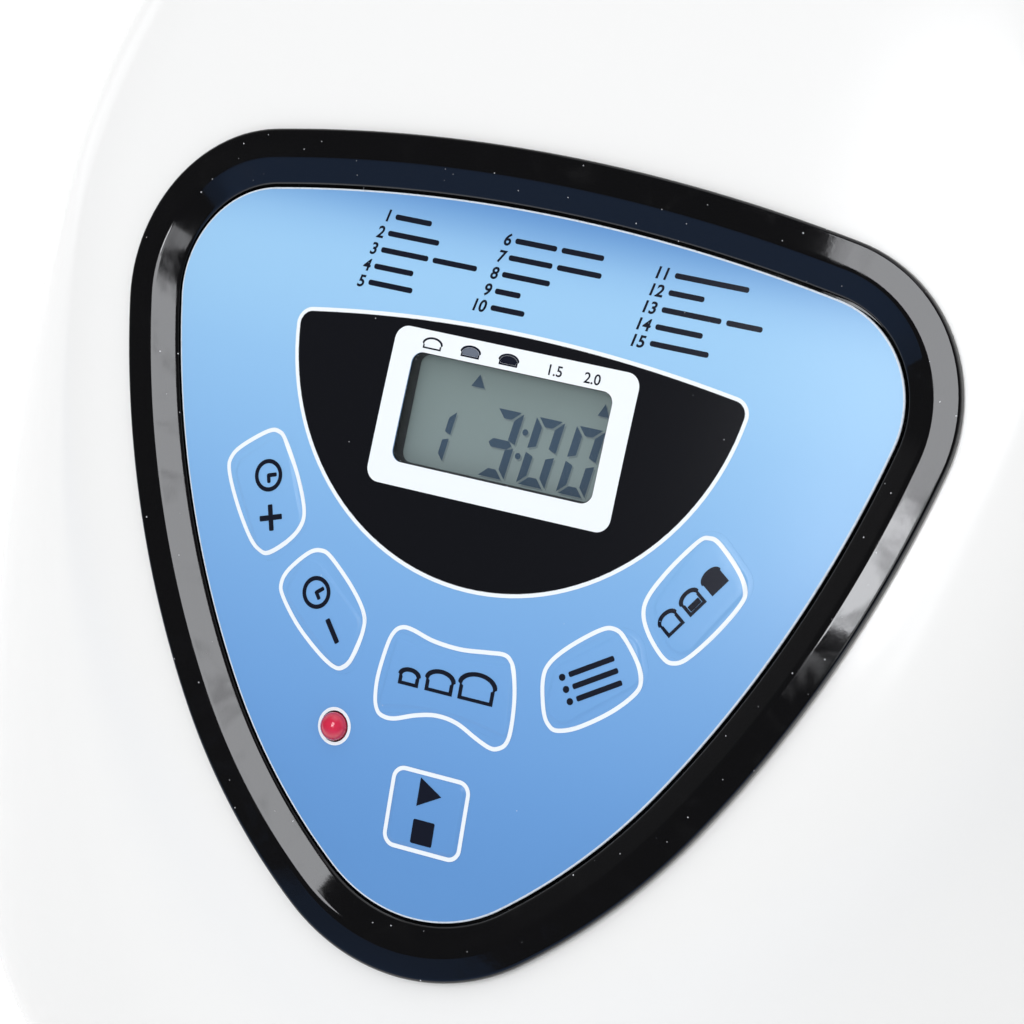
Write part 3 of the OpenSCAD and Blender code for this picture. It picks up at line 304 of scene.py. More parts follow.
foot_rubber = soft_matt("foot_rubber", srgb(36, 36, 38), 0.8)
belt_rubber = soft_matt("belt_rubber", srgb(26, 26, 27), 0.72, scale=500.0)
silicone = soft_matt("lid_silicone", srgb(212, 208, 198), 0.55)
seal_red = soft_matt("shaft_seal_red", srgb(140, 56, 46), 0.5)
ceramic = soft_matt("bush_ceramic", srgb(226, 221, 208), 0.35, scale=300.0)

# %% [markdown]
# ### Metals and coats
# The oven can is stainless steel, the frame zinc-plated, the pan nonstick-coated. All metals share one
# recipe: noise drawn out along the way the sheet was rolled, which changes both the bump and the roughness.
# With an even stretch the same recipe gives cast and plated skins. Coats aren't metal to the eye, so they
# get spots of a second colour.

# %% Metals
def brushed_metal(name, colour, low, high, stretch=(1, 1, 40), scale=60.0, strength=0.12):
    material, tree, shader, place = finish_base(name, colour, low, metal=1.0)
    lines = use_group(tree, brushed_lines, place, Stretch=stretch, Scale=scale, Low=low, High=high)
    bump_into(tree, shader, lines["Height"], strength, 0.0002)
    tree.links.new(lines["Roughness"], shader.inputs["Roughness"])
    streaked = blend_colour(tree, lines["Height"], darker(colour, 0.82), colour)
    tree.links.new(streaked, shader.inputs["Base Color"])
    return material


EVEN = (1, 1, 1)
stainless = brushed_metal("liner_stainless", (0.62, 0.62, 0.61, 1), 0.22, 0.4)
zinc_steel = brushed_metal("zinc_plate", (0.55, 0.56, 0.57, 1), 0.3, 0.5, EVEN, scale=90.0, strength=0.2)
bright_steel = brushed_metal("bright_steel", (0.72, 0.72, 0.72, 1), 0.1, 0.2, (30, 1, 1), scale=40.0,
                             strength=0.05)
cast_aluminium = brushed_metal("cast_aluminium", (0.6, 0.61, 0.62, 1), 0.4, 0.6, EVEN, scale=260.0,
                               strength=0.4)
bronze = brushed_metal("sintered_bronze", (0.62, 0.4, 0.18, 1), 0.35, 0.55, EVEN, scale=500.0, strength=0.3)
motor_lacquer = brushed_metal("motor_can", (0.36, 0.37, 0.39, 1), 0.3, 0.42, (1, 1, 12), scale=50.0)
well_dark = brushed_metal("display_well_ribbed", (0.06, 0.065, 0.07, 1), 0.4, 0.7, (1, 1, 0.2), scale=900.0,
                          strength=0.6)

# %% Coats: nonstick with its fine speckle, the heater's oxidised sheath, and the boards' green mask
def coated(name, colour, spot, rough, scale, threshold, strength):
    material, tree, shader, place = finish_base(name, colour, rough)
    spots = use_group(tree, sprayed_speckle, place, Scale=scale, Threshold=threshold)
    tree.links.new(blend_colour(tree, spots["Mask"], colour, spot), shader.inputs["Base Color"])
    bump_into(tree, shader, spots["Height"], strength, 0.0002)
    return material


nonstick = coated("nonstick_coat", srgb(58, 60, 65), srgb(120, 122, 126), 0.34, 900.0, 0.66, 0.25)
heater_sheath = coated("heater_sheath", srgb(62, 60, 60), srgb(96, 84, 76), 0.5, 160.0, 0.5, 0.2)
circuit_green = coated("circuit_mask", srgb(44, 98, 60), srgb(150, 150, 96), 0.35, 420.0, 0.68, 0.1)

# %% [markdown]
# ### Clear pieces and the lamp
# The lid's pane is thick glass, so it refracts. The display's cover is a thin clear plate that is seen only
# by its dust. Full glass would cost light there and show nothing more, so it is a nearly transparent sheet
# instead. The lamp's plastic is dyed through; its red is painted brighter where it faces the eye and darker
# where the eye meets it at a slant, a painted glow in its middle.

# %% Pane, display cover and lamp
def clear_sheet(name, tint, rough=0.02, smudge=0.03):
    material, tree, shader, place = finish_base(name, tint, rough, IOR=1.49, Transmission_Weight=1.0)
    uneven = remap(tree, noise(tree, place, 35.0, 3.0), 0.3, 0.7, rough, rough + smudge)
    tree.links.new(uneven, shader.inputs["Roughness"])
    return material


def dusty_cover(name, alpha, dust):
    material, tree, shader, place = finish_base(name, srgb(210, 216, 218), 0.06)
    solid_share = math_node(tree, "ADD", dust_mask(tree, place, dust), alpha, clamp=True)
    tree.links.new(solid_share, shader.inputs["Alpha"])
    return material


def lamp_plastic(name):
    material, tree, shader, place = finish_base(name, srgb(206, 38, 70), 0.12, Coat_Weight=0.6,
                                                Coat_Roughness=0.05)
    # Painted glow: the red is painted brighter where the dome faces the eye and deeper at a slant.
    facing = add(tree, "ShaderNodeLayerWeight", {"Blend": 0.35}).outputs["Facing"]
    deep = blend_colour(tree, facing, srgb(214, 46, 78), srgb(150, 10, 34))
    tree.links.new(deep, shader.inputs["Base Color"])
    grain = use_group(tree, sprayed_speckle, place, Scale=2500.0, Threshold=0.6)
    bump_into(tree, shader, grain["Height"], 0.05, 0.0001)
    return material


lid_pane = clear_sheet("lid_pane_clear", (0.95, 0.98, 0.99, 1))
lcd_cover = dusty_cover("lcd_cover_dusty", 0.015, (520.0, 0.05, 0.12))
lamp_red = lamp_plastic("lamp_red_diffused")

# %% [markdown]
# ### The printed film
# The blue face of the panel is one polyester sheet, printed on its back and laid over the plate. Its blue
# is painted from pale at the top to deeper at the lower corner, a painted reflection, with a narrow band of
# painted shadow right under the bezel's top wall. A picture could carry that, but a ramp over the height on
# the sheet gives it at any size, and a fine bump gives the satin surface. All prints share the film's gloss,
# because the ink lies under it, and they are painted a little lighter towards the top as well.

# %% Film, ink and display finishes
def height_ramp(tree, place, stops, low, high):
    """A colour painted by the height on the panel, as painted light and shade. A ramp starts with two elements,
    so its ends come first.
    """
    height = add(tree, "ShaderNodeSeparateXYZ", {0: place}).outputs[1]
    ramp = add(tree, "ShaderNodeValToRGB", {0: remap(tree, height, low * MM, high * MM)})
    ramp.color_ramp.interpolation = "B_SPLINE"
    for index, (at, colour) in enumerate(stops):
        element = ramp.color_ramp.elements[index] if index < 2 else ramp.color_ramp.elements.new(at)
        element.position = at
        element.color = srgb(*colour)
    return ramp.outputs[0]


def printed_film(name, stops, rough=0.22, low=-63.0, high=51.0, grain=0.06, dust=(420.0, 0.035, 0.06)):
    material, tree, shader, place = finish_base(name, srgb(*stops[0][1]), rough, Specular_IOR_Level=0.3)
    colour = height_ramp(tree, place, stops, low, high)
    mixed = blend_colour(tree, dust_mask(tree, place, dust), colour, (0.8, 0.82, 0.85, 1))
    tree.links.new(mixed, shader.inputs["Base Color"])
    satin = use_group(tree, moulded_ripple, place, Broad=60.0, Fine=2200.0, Grain=0.5)
    bump_into(tree, shader, satin["Height"], grain, 0.0001)
    return material


# Each print is painted from its low colour to its high colour up the panel: painted light and shade, most
# prints a little lighter towards the top like the film's blue.
def ink(name, low_colour, high_colour, **settings):
    return printed_film(name, [(0.0, low_colour), (1.0, high_colour)], **settings)


# Painted light: the blue is palest high up as a painted reflection, and the last stop darkens the top edge as
# painted shadow of the bezel's top wall.
film_blue_painted_light = printed_film("film_blue_painted_light", [(0.0, (96, 147, 206)), (1.0, (86, 138, 200)), (0.22, (107, 158, 217)),
                                       (0.5, (128, 178, 228)), (0.72, (146, 194, 236)), (0.86, (158, 204, 240)),
                                       (0.935, (150, 197, 237))])
film_black = ink("film_black_print", (17, 18, 22), (20, 21, 26), rough=0.15, dust=(420.0, 0.04, 0.14))
film_white = ink("film_white_print", (234, 241, 248), (243, 248, 252))
ink_dark = ink("film_dark_ink", (20, 24, 38), (22, 26, 40))
ink_grey = ink("film_grey_ink", (96, 104, 118), (110, 118, 132))
film_edge = soft_matt("film_cut_edge", srgb(214, 224, 235), 0.35, scale=1500.0, strength=0.3)
LCD_LOW, LCD_HIGH = 5, 24
# The reflector is painted darker towards its top: painted shade under the display well's upper wall.
lcd_face_painted_shade = ink("lcd_reflector", (127, 143, 144), (117, 134, 132), rough=0.5, low=LCD_LOW, high=LCD_HIGH,
               grain=0.2, dust=(900.0, 0.02, 0.02))
lcd_ink = ink("lcd_segment", (38, 66, 90), (46, 72, 94), rough=0.45)
lcd_shade = ink("lcd_segment_shade", (104, 120, 124), (97, 113, 117), rough=0.5, low=LCD_LOW, high=LCD_HIGH)
print("materials:", len(bpy.data.materials))

# %% [markdown]
# ## Sheets that follow the dome
# Film and prints are flat outlines laid on a shallow dome. Each outline is cut into small triangles with a
# constrained triangulation, which keeps every edge exact and allows holes, and then each point is lifted to
# the height of the surface below it. That is closer to how a printed film is cut and laid than any boolean
# would be.

# %% Flat shapes
def moved(points, at, turn=0.0):
    c, s = math.cos(math.radians(turn)), math.sin(math.radians(turn))
    return [(at[0] + c * x - s * y, at[1] + s * x + c * y) for x, y in points]


def grow(loop, reach, step=12.0):
    """Moves an anticlockwise outline outward, with round corners."""
    points = [Vector(p) for p in loop]
    out = []
    for i, p in enumerate(points):
        before, after = (p - points[i - 1]).normalized(), (points[(i + 1) % len(points)] - p).normalized()
        start, turn = Vector((before.y, -before.x)), before.angle_signed(after)
        count = max(1, math.ceil(math.degrees(abs(turn)) / step)) if turn < -0.02 else 0
        if count:
            out += [p + reach * (Matrix.Rotation(-turn * k / count, 2) @ start) for k in range(count + 1)]
        else:
            out.append(p + reach * (start + Vector((after.y, -after.x))).normalized())
    return [(p.x, p.y) for p in out]


def soft_box(w, h, r, at=(0, 0), turn=0.0, step=12.0):
    x, y = w / 2 - r, h / 2 - r
    return moved(grow([(x, y), (-x, y), (-x, -y), (x, -y)], r, step), at, turn)


def ring_of(r, at=(0, 0), n=48):
    angles = [2 * math.pi * k / n for k in range(n)]
    return [(at[0] + r * math.cos(a), at[1] + r * math.sin(a)) for a in angles]


def fine(*loops, step=1.6):
    """Adds points along the long sides, as many on every loop, so that each of them can follow the dome."""
    out = [[] for _ in loops]
    for i in range(len(loops[0])):
        k = (i + 1) % len(loops[0])
        count = max(1, math.ceil(math.dist(loops[0][i], loops[0][k]) / step - 0.01))
        for loop, result in zip(loops, out):
            (x, y), (next_x, next_y) = loop[i], loop[k]
            result += [(x + (next_x - x) * j / count, y + (next_y - y) * j / count) for j in range(count)]
    return out


print("points of a 10 mm square with 1 mm corners:", len(soft_box(10, 10, 1)))

# %% Measures on flat shapes
def inside(points, loop):
    """For each point, whether a ray from it crosses the loop an odd number of times."""
    points, loop = np.asarray(points, float), np.asarray(loop, float)
    x, y = points[:, 0:1], points[:, 1:2]
    a, b = loop, np.roll(loop, -1, 0)
    crosses = (a[:, 1] > y) != (b[:, 1] > y)
    rise = np.where(b[:, 1] == a[:, 1], 1.0, b[:, 1] - a[:, 1])
    return (crosses & (x < a[:, 0] + (y - a[:, 1]) * (b[:, 0] - a[:, 0]) / rise)).sum(1) % 2 == 1


def edge_distance(points, loop):
    points, a = np.asarray(points, float)[:, None, :], np.asarray(loop, float)[None]
    along = np.roll(a, -1, 1) - a
    t = np.clip(((points - a) * along).sum(2) / np.maximum((along ** 2).sum(2), 1e-12), 0, 1)
    return np.sqrt((((a + along * t[..., None]) - points) ** 2).sum(2)).min(1)


def double_area(a, b, c):
    """Twice the area of a triangle, below zero where its points run clockwise."""
    return (b[0] - a[0]) * (c[1] - a[1]) - (b[1] - a[1]) * (c[0] - a[0])


print("from a square's middle to its edge:", edge_distance([(0, 0)], [(2, 2), (-2, 2), (-2, -2), (2, -2)])[0])

# %% Cut an outline into triangles small enough to bend
SLIVER = 2e-4
ROW_HEIGHT = 0.866
TOO_NEAR = 0.45


def cut_sheet(outer, holes=(), spacing=5.0, scores=()):
    """Points and triangles of a flat shape. Holes are cut out; along scores the triangles only meet."""
    loops = [np.array(fine(loop)[0]) for loop in (outer, *holes)]
    points, edges = [], []
    for loop in (*loops, *scores):
        first = len(points)
        points += [tuple(p) for p in loop]
        edges += [(first + i, first + (i + 1) % len(loop)) for i in range(len(loop))]

    def on_sheet(spots):
        keep = inside(spots, loops[0])
        for hole in loops[1:]:
            keep &= ~inside(spots, hole)
        return keep

    low, high = loops[0].min(0), loops[0].max(0)
    xs, ys = np.arange(low[0], high[0], spacing), np.arange(low[1], high[1], spacing * ROW_HEIGHT)
    grid = np.array([(x + (j % 2) * spacing / 2, y) for j, y in enumerate(ys) for x in xs])
    rim = np.concatenate(loops)
    for spot in grid[on_sheet(grid)]:
        if ((rim - spot) ** 2).sum(1).min() > (TOO_NEAR * spacing) ** 2:
            points.append(tuple(spot))
    verts, _, faces, *_ = delaunay_2d_cdt([Vector(p) for p in points], edges, [], 0, 1e-7)
    verts = np.array([tuple(v) for v in verts])
    faces = [list(f) for f in faces if abs(double_area(*verts[list(f)])) / 2 > SLIVER]
    keep = on_sheet(np.array([verts[f].mean(0) for f in faces]))
    return verts, [f for f, k in zip(faces, keep) if k]


print("triangles of a 20 mm disc with a hole:", len(cut_sheet(ring_of(10), [ring_of(4)])[1]))

# %% Make a piece from points in millimetres
def renumbered(faces, first):
    return [[i + first for i in f] for f in faces]


def loft_faces(rings, count, closed_rings=False, flip=False):
    """Quads between rings of points that all have the same count."""
    faces = []
    for i in range(rings if closed_rings else rings - 1):
        for j in range(count):
            a, b, k = i * count, ((i + 1) % rings) * count, (j + 1) % count
            face = [a + j, a + k, b + k, b + j]
            faces.append(face[::-1] if flip else face)
    return faces


def mesh_in_mm(name, points, faces):
    mesh = bpy.data.meshes.new(name)
    mesh.from_pydata([(p[0] * MM, p[1] * MM, p[2] * MM) for p in points], [], faces)
    return mesh


def make_piece(name, points, faces, material, body, replaces=(), seat=panel_seat, crease=40, weld=False):
    mesh = mesh_in_mm(name, points, faces)
    mesh.materials.append(material)
    if weld:
        build = bmesh.new()
        build.from_mesh(mesh)
        bmesh.ops.remove_doubles(build, verts=build.verts, dist=1e-6)
        build.to_mesh(mesh)
        build.free()
    mesh.validate()
    mesh.shade_smooth()
    mesh.set_sharp_from_angle(angle=math.radians(crease))
    piece = put(name, mesh)
    piece.matrix_world = seat
    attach(piece, body)
    if replaces:
        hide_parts(*replaces)
    print(name, "rides on", body, "with", len(mesh.polygons), "faces")
    return piece


# %% [markdown]
# ## The panel's outline
# The plate's outline is made of tangent arcs: a wide top, two tight upper corners, two long flat sides and
# a small lower corner. A curve object could hold it, but bezel, groove, film and cut edge all follow it at
# their own distance, and an arc only needs a larger radius for that. So it is written once, as a function
# of the distance.

# %% Outline of the plate at any distance
PLATE_TOP = 51.2
ARC_TURN = [0, 9.5, 102.8, 124, 143.2, 180]
ARC_R = [332, 18.2, 188.796, 110, 27.8]
ARC_STEPS = [20, 26, 36, 22, 22]


def mirrored(points):
    return [(-x, y) for x, y in points[::-1]]


def plate_outline(d):
    half, cx, cy = [], 0.0, PLATE_TOP - ARC_R[0]
    for i, r in enumerate(ARC_R):
        a0, a1 = math.radians(ARC_TURN[i]), math.radians(ARC_TURN[i + 1])
        for k in range(ARC_STEPS[i]):
            a = a0 + (a1 - a0) * k / ARC_STEPS[i]
            half.append((cx + (r + d) * math.sin(a), cy + (r + d) * math.cos(a)))
        if i < len(ARC_R) - 1:
            cx += (r - ARC_R[i + 1]) * math.sin(a1)
            cy += (r - ARC_R[i + 1]) * math.cos(a1)
    half.append((0.0, cy - (ARC_R[-1] + d)))
    return half + mirrored(half[1:-1])


def on_dome(points, level):
    return [(x, y, level + dome(x, y)) for x, y in points]


def swept_round(name, section, material, replaces=(), crease=40):
    """A ring whose section is a list of (distance, height), laid round the plate on the dome."""
    rings = [on_dome(plate_outline(d), h) for d, h in section]
    points, faces = sum(rings, []), loft_faces(len(rings), len(rings[0]), closed_rings=True)
    return make_piece(name, points, faces, material, "machine", replaces, crease=crease)


print("the plate is", round(2 * max(x for x, _ in plate_outline(0)), 1), "mm wide")

# %% [markdown]
# ## Bezel
# The black frame is a gloss moulding with a flat outer band, a soft crest and a wall that slopes down to
# the film. A bevel on a plain ring would round all edges alike, unless each was weighted by hand. So its
# section is drawn once, with extra points where it rounds over, and swept round the outline: the crest's
# small radius catches the thin bright line.

# %% Bezel
BEZEL_CORNERS = [(10.2, 0.3), (10.2, 1.62), (5.3, 1.78), (0.8, -0.5), (0.5, -0.8), (0.5, -2.85), (-3.0, -2.85),
                 (-3.0, -4.4), (3.8, -4.4), (3.8, -10.0), (6.0, -10.0), (6.0, 0.3)]
BEZEL_RADIUS = [0.1, 0.5, 0.55, 0.2, 0.0, 0, 0, 0, 0, 0.2, 0.2, 0]
LONG_SIDE = 1.5


def rounded_section(corners, radius, steps=4):
    """Rounds each corner of a closed section with a small arc-like curve."""
    out = []
    for i, (x, y) in enumerate(corners):
        p, a, b = Vector((x, y)), Vector(corners[i - 1]), Vector(corners[(i + 1) % len(corners)])
        r = min(radius[i], (a - p).length * 0.45, (b - p).length * 0.45)
        if r <= 0:
            out.append((x, y))
            continue
        start, end = p + (a - p).normalized() * r, p + (b - p).normalized() * r
        for t in np.arange(steps + 1) / steps:
            q = start * (1 - t) ** 2 + p * 2 * t * (1 - t) + end * t * t
            out.append((q.x, q.y))
    return out


def held_flat(section, reach=0.25):
    """Adds a point near each end of the long sides, so that smooth shading bends only there."""
    out = []
    for i, point in enumerate(section):
        p, q = Vector(point), Vector(section[(i + 1) % len(section)])
        out.append(point)
        if (q - p).length > LONG_SIDE:
            step = (q - p).normalized() * reach
            out += [tuple(p + step), tuple(q - step)]
    return out


bezel_section = held_flat(rounded_section(BEZEL_CORNERS, BEZEL_RADIUS))[::-1]
swept_round("panel_bezel_gloss", bezel_section, bezel_black, ["panel_bezel"], crease=50)

# %% [markdown]
# ## Keys
# The six keys are raised fields of the film. In life the film bends over them; here each one travels, so
# each is its own cap: a flat rim that is flush with the film, and a softly embossed field. A cap could be a
# scaled-up box with a bevel, but its outline has to be the CAD key's own, so rings follow that outline over
# the emboss. Each cap keeps a hair's breadth clear of its opening in the film, so that it slides without
# touching.

# %% Key outlines
BOW_STEPS, LOAF_INSET = 161, 2


def loaf_base():
    """Inner line of the loaf key: two bowed sides, moved 2 mm inward, that slanted lines cut off."""
    low = [Vector((14.4 * u, -36.4 - 2.2 * u * u)) for u in np.linspace(-1, 1, BOW_STEPS)]
    top = [Vector((12.8 * u, -24.4 + 1.32 * u * u)) for u in np.linspace(1, -1, BOW_STEPS)]
    side_a, side_b = Vector((14.4, -38.6)), Vector((12.8, -23.08))
    across = Vector((-(side_b - side_a).y, (side_b - side_a).x)).normalized()
    loop = []
    for line in (low, top):
        for i in range(1, len(line) - 1, 2):
            along = (line[i + 1] - line[i - 1]).normalized()
            p = line[i] + LOAF_INSET * Vector((-along.y, along.x))
            if (Vector((abs(p.x), p.y)) - side_a).dot(across) >= LOAF_INSET:
                loop.append((p.x, p.y))
    return loop


time_up_base = [(-42.6, 0.9), (-46.9, -2.9), (-40.5, -12.9), (-37.8, -9)]
time_down_base = [(-30.7, -18.1), (-31.8, -20.9), (-21.8, -29), (-22, -24.8)]
start_base = [(5.3, -48.1), (-5.3, -48.1), (-5.3, -57.5), (5.3, -57.5)]
CORNER_R, START_CORNER_R = 4.2, 2.5
KEYS = {"time_up": (time_up_base, CORNER_R), "time_down": (time_down_base, CORNER_R),
        "loaf_size": (loaf_base(), LOAF_INSET), "menu": (mirrored(time_down_base), CORNER_R),
        "crust_colour": (mirrored(time_up_base), CORNER_R), "start_stop": (start_base, START_CORNER_R)}


def key_outline(name, d):
    base, r = KEYS[name]
    return grow(base, r + d, step=7.0)


print("points round each key:", {name: len(key_outline(name, 0)) for name in KEYS})

# %% Key caps: rings follow the rim over the emboss, and a sheet closes the middle
FILM_TOP, FILM_UNDER, CAP_UNDER = -0.55, -0.80, -3.0
KEY_RIM, KEY_OPENING = -0.03, -0.02
RISE_START, RISE_WIDTH, RISE = 0.84, 0.75, 0.24
RISE_RINGS = 6


def key_rise(reach):
    """Height of the embossed field at a distance from the key's rim."""
    t = np.clip((np.asarray(reach) - RISE_START) / RISE_WIDTH, 0, 1)
    return RISE * t * t * (3 - 2 * t)


def make_key(name):
    reaches = [0.0] + [RISE_START + RISE_WIDTH * k / RISE_RINGS for k in range(RISE_RINGS + 1)]
    rings = fine(*[key_outline(name, KEY_RIM - reach) for reach in reaches], step=1.2)
    count = len(rings[0])
    points = on_dome(rings[0], CAP_UNDER)
    for ring, reach in zip(rings, reaches):
        points += on_dome(ring, FILM_TOP + float(key_rise(reach)))
    faces = loft_faces(len(rings) + 1, count) + [list(range(count))[::-1]]
    flat, middle = cut_sheet(rings[-1], spacing=2.0)
    faces += renumbered(middle, len(points))
    points += on_dome(flat, FILM_TOP + RISE)
    make_piece("cap_" + name, points, faces, film_blue_painted_light, "key_" + name, ["key_" + name],
               crease=50, weld=True)


for name in KEYS:
    make_key(name)

# %% [markdown]
# ## The film
# The film is one sheet, a quarter of a millimetre thick, with openings for the keys, the display and the
# lamp. A solidify modifier would thicken it, but would also double its large back, which nobody sees. So
# only the rim and each opening get a narrow wall, and a pale strip shows the plastic's cut edge along the
# rim.

# %% Film and its cut edge
FILM_RIM = -0.3
LCD_AT, LED_AT = (0.0, 14.3), (-20.6, -42.2)
LCD_OPENING, LED_HOLE = soft_box(39.1, 19.2, 2, LCD_AT), ring_of(2.72, LED_AT)
film_rim = plate_outline(FILM_RIM)
openings = [key_outline(name, KEY_OPENING) for name in KEYS] + [LCD_OPENING, LED_HOLE]
openings = [fine(loop)[0] for loop in openings]
flat, faces = cut_sheet(film_rim, openings, spacing=5.0)
points = on_dome(flat, FILM_TOP)
for loop in (film_rim, *openings):
    faces += renumbered(loft_faces(2, len(loop)), len(points))
    points += on_dome(loop, FILM_TOP) + on_dome(loop, FILM_UNDER)
make_piece("panel_film", points, faces, film_blue_painted_light, "machine", crease=30)
CUT_EDGE = [(0, FILM_UNDER + 0.005), (0.32, FILM_UNDER + 0.005), (0.26, FILM_TOP - 0.04), (0, FILM_TOP + 0.005)]
swept_round("film_edge", [(FILM_RIM + d, h) for d, h in CUT_EDGE], film_edge, crease=20)

# %% [markdown]
# ## Prints
# Every print is collected as flat shapes first, and then laid on the film or on its key, a few hundredths
# of a millimetre above the surface. An image would blur at the edges, while flat shapes stay sharp from
# close up. A print on a key rides with that key, so it moves when the key is pressed.

# %% Collect flat shapes, then lay them down
ON_FILM, ON_KEY = 0.02, 0.045


class Print:
    def __init__(self):
        self.points, self.faces = [], []

    def add(self, points, faces):
        self.faces += renumbered(faces, len(self.points))
        self.points += [tuple(p) for p in points]

    def shape(self, loop, holes=(), spacing=2.5):
        self.add(*cut_sheet(loop, holes, spacing))

    def band(self, outer, inner):
        outer, inner = fine(outer, inner)
        self.add(inner + outer, loft_faces(2, len(outer)))

    def lay(self, name, material, height, body="machine", slot="membrane_blue", lift=ON_FILM):
        points = [(x, y, z) for (x, y), z in zip(self.points, height(self.points, lift))]
        faces = [f if double_area(*(self.points[i] for i in f[:3])) > 0 else f[::-1] for f in self.faces]
        make_piece(name, points, faces, material, body, crease=60)


def film_height(points, lift):
    return [FILM_TOP + lift + dome(x, y) for x, y in points]


def on_key(name):
    """The height of a print on a key's cap, emboss and all."""
    def height(points, lift):
        rise = key_rise(edge_distance(points, key_outline(name, KEY_RIM)))
        return [FILM_TOP + lift + dome(x, y) + float(up) for (x, y), up in zip(points, rise)]

    return height


# %% Half-moon field behind the display, and the white lines that stay
MOON_AT, MOON_R, MOON_TIP, TOP_R, TOP_AT = 30, 41.3, 24.55, 275, 27.6


def half_moon(reach):
    """A bowl-shaped arc closed by a flat one, with both moved outward by the reach."""
    corner, span = math.asin((MOON_AT - MOON_TIP) / MOON_R), math.asin(40.95 / TOP_R)
    low = [(MOON_R * math.cos(a), MOON_AT + MOON_R * math.sin(a))
           for a in np.linspace(-math.pi + corner, -corner, 61)]
    top = [(TOP_R * math.sin(a), TOP_AT - TOP_R + TOP_R * math.cos(a))
           for a in np.linspace(span, -span, 31)[1:-1]]
    return grow(low + top, reach)


LCD_FRAME = soft_box(47.5, 27.3, 2.5, (0, 14.2))
moon, lines = Print(), Print()
moon.shape(half_moon(2.4), [LCD_FRAME], spacing=4.0)
moon.lay("print_half_moon", film_black, film_height)
lines.band(half_moon(3.05), half_moon(2.35))
lines.shape(LCD_FRAME, [LCD_OPENING], spacing=3.0)
lines.shape(ring_of(3.3, LED_AT), [LED_HOLE])
lines.lay("print_white", film_white, film_height)

# %% [markdown]
# ## White lines round the keys
# A white line of 0.74 mm is printed round each key. Its way is freer than the plain outline of the cap, so
# it runs on the cap in some places and beside it on the film in others. It is drawn as a smooth curve
# through a few points, and its band is cut along the cap's rim: what lies inside the rim is laid on the cap
# and travels with it, and the rest stays on the film. One band laid over both would tear when the key is
# pressed.

# %% White lines of the keys
LINE_HALF, LINE_STEPS, WITHOUT_GRID = 0.37, 8, 50
LINE_WAYS = {
    "time_up": [(-37.2, -1.6), (-41, 3.8), (-42.9, 5.2), (-45.1, 4.8), (-49.5, 1.6), (-51.5, -0.8),
                (-51.5, -3.4), (-48.5, -8.7), (-44.5, -13.9), (-41.9, -15.7), (-39.9, -15.7), (-36.7, -13.1),
                (-34.6, -10), (-34.6, -6.9)],
    "time_down": [(-18.9, -21.8), (-22.2, -18), (-27.2, -14), (-29.5, -13.2), (-31.9, -14.1), (-35.2, -17.6),
                  (-36.3, -20.2), (-35.5, -22.5), (-31.4, -26.8), (-26.1, -30.6), (-22.7, -32.2),
                  (-20.9, -31.9), (-19.4, -29.9), (-18.3, -24.9)],
    "loaf_size": [(12.8, -30.4), (11.8, -25.8), (10.8, -23.9), (9.3, -23.1), (6.2, -23.4), (0.9, -24),
                  (-4.4, -23.7), (-8.7, -22.7), (-10.8, -22.7), (-12.2, -23.8), (-13.1, -26.4), (-13.8, -31.7),
                  (-13.6, -35.4), (-12.9, -37.4), (-11.7, -38.3), (-9.3, -38.3), (-5.1, -36.8), (-1.2, -36),
                  (2.8, -36.4), (7.1, -38.2), (9.8, -39.1), (11.3, -38.9), (12.6, -37.8), (13.1, -35.4)],
    "menu": [(34.9, -22.1), (33.8, -19.2), (30.6, -15.6), (28.3, -14.5), (25.8, -15.3), (20.9, -19.2),
             (17.9, -22.7), (17.3, -25.8), (18.5, -30.8), (19.9, -32.9), (21.7, -33.4), (25.3, -32),
             (30.5, -28.3), (34.1, -24.5)],
    "crust_colour": [(49.5, -5.8), (49.8, -3.2), (48, -0.4), (43.9, 3.2), (41.8, 3.8), (40, 2.8), (36.1, -2.5),
                     (33.3, -7.7), (33, -11), (34.8, -14.3), (37.9, -17.3), (40, -17.8), (42.4, -16.3),
                     (46.3, -11.3)],
}


def smooth_loop(points):
    """A closed curve through all the points (Catmull-Rom)."""
    points, out = np.array(points), []
    for i in range(len(points)):
        a, b, c, d = (points[(i + k) % len(points)] for k in (-1, 0, 1, 2))
        for t in np.arange(LINE_STEPS) / LINE_STEPS:
            bend = (2 * a - 5 * b + 4 * c - d) * t * t + (3 * b - a - 3 * c + d) * t ** 3
            out.append(tuple(0.5 * (2 * b + (c - a) * t + bend)))
    return out


on_film = Print()
for name in KEYS:
    way = smooth_loop(LINE_WAYS[name]) if name in LINE_WAYS else key_outline(name, -0.47)
    rim = key_outline(name, KEY_RIM)
    verts, faces = cut_sheet(grow(way, LINE_HALF), [grow(way, -LINE_HALF)], WITHOUT_GRID, scores=(way, rim))
    on_cap = inside(np.array([verts[f].mean(0) for f in faces]), rim)
    line = Print()
    line.add(verts, [f for f, cap in zip(faces, on_cap) if cap])
    line.lay("print_line_" + name, film_white, on_key(name), "key_" + name, lift=ON_KEY)
    on_film.add(verts, [f for f, cap in zip(faces, on_cap) if not cap])
on_film.lay("print_lines_on_film", film_white, film_height)

# %% [markdown]
# ## Numbers, bars and marks
# Over the half-moon stands the list of programs, and over the display its own marks. Text objects give
# clean figures, so each number is taken from one as a mesh and joined to the other prints. Where a
# program's name would stand there is a plain bar with round ends.

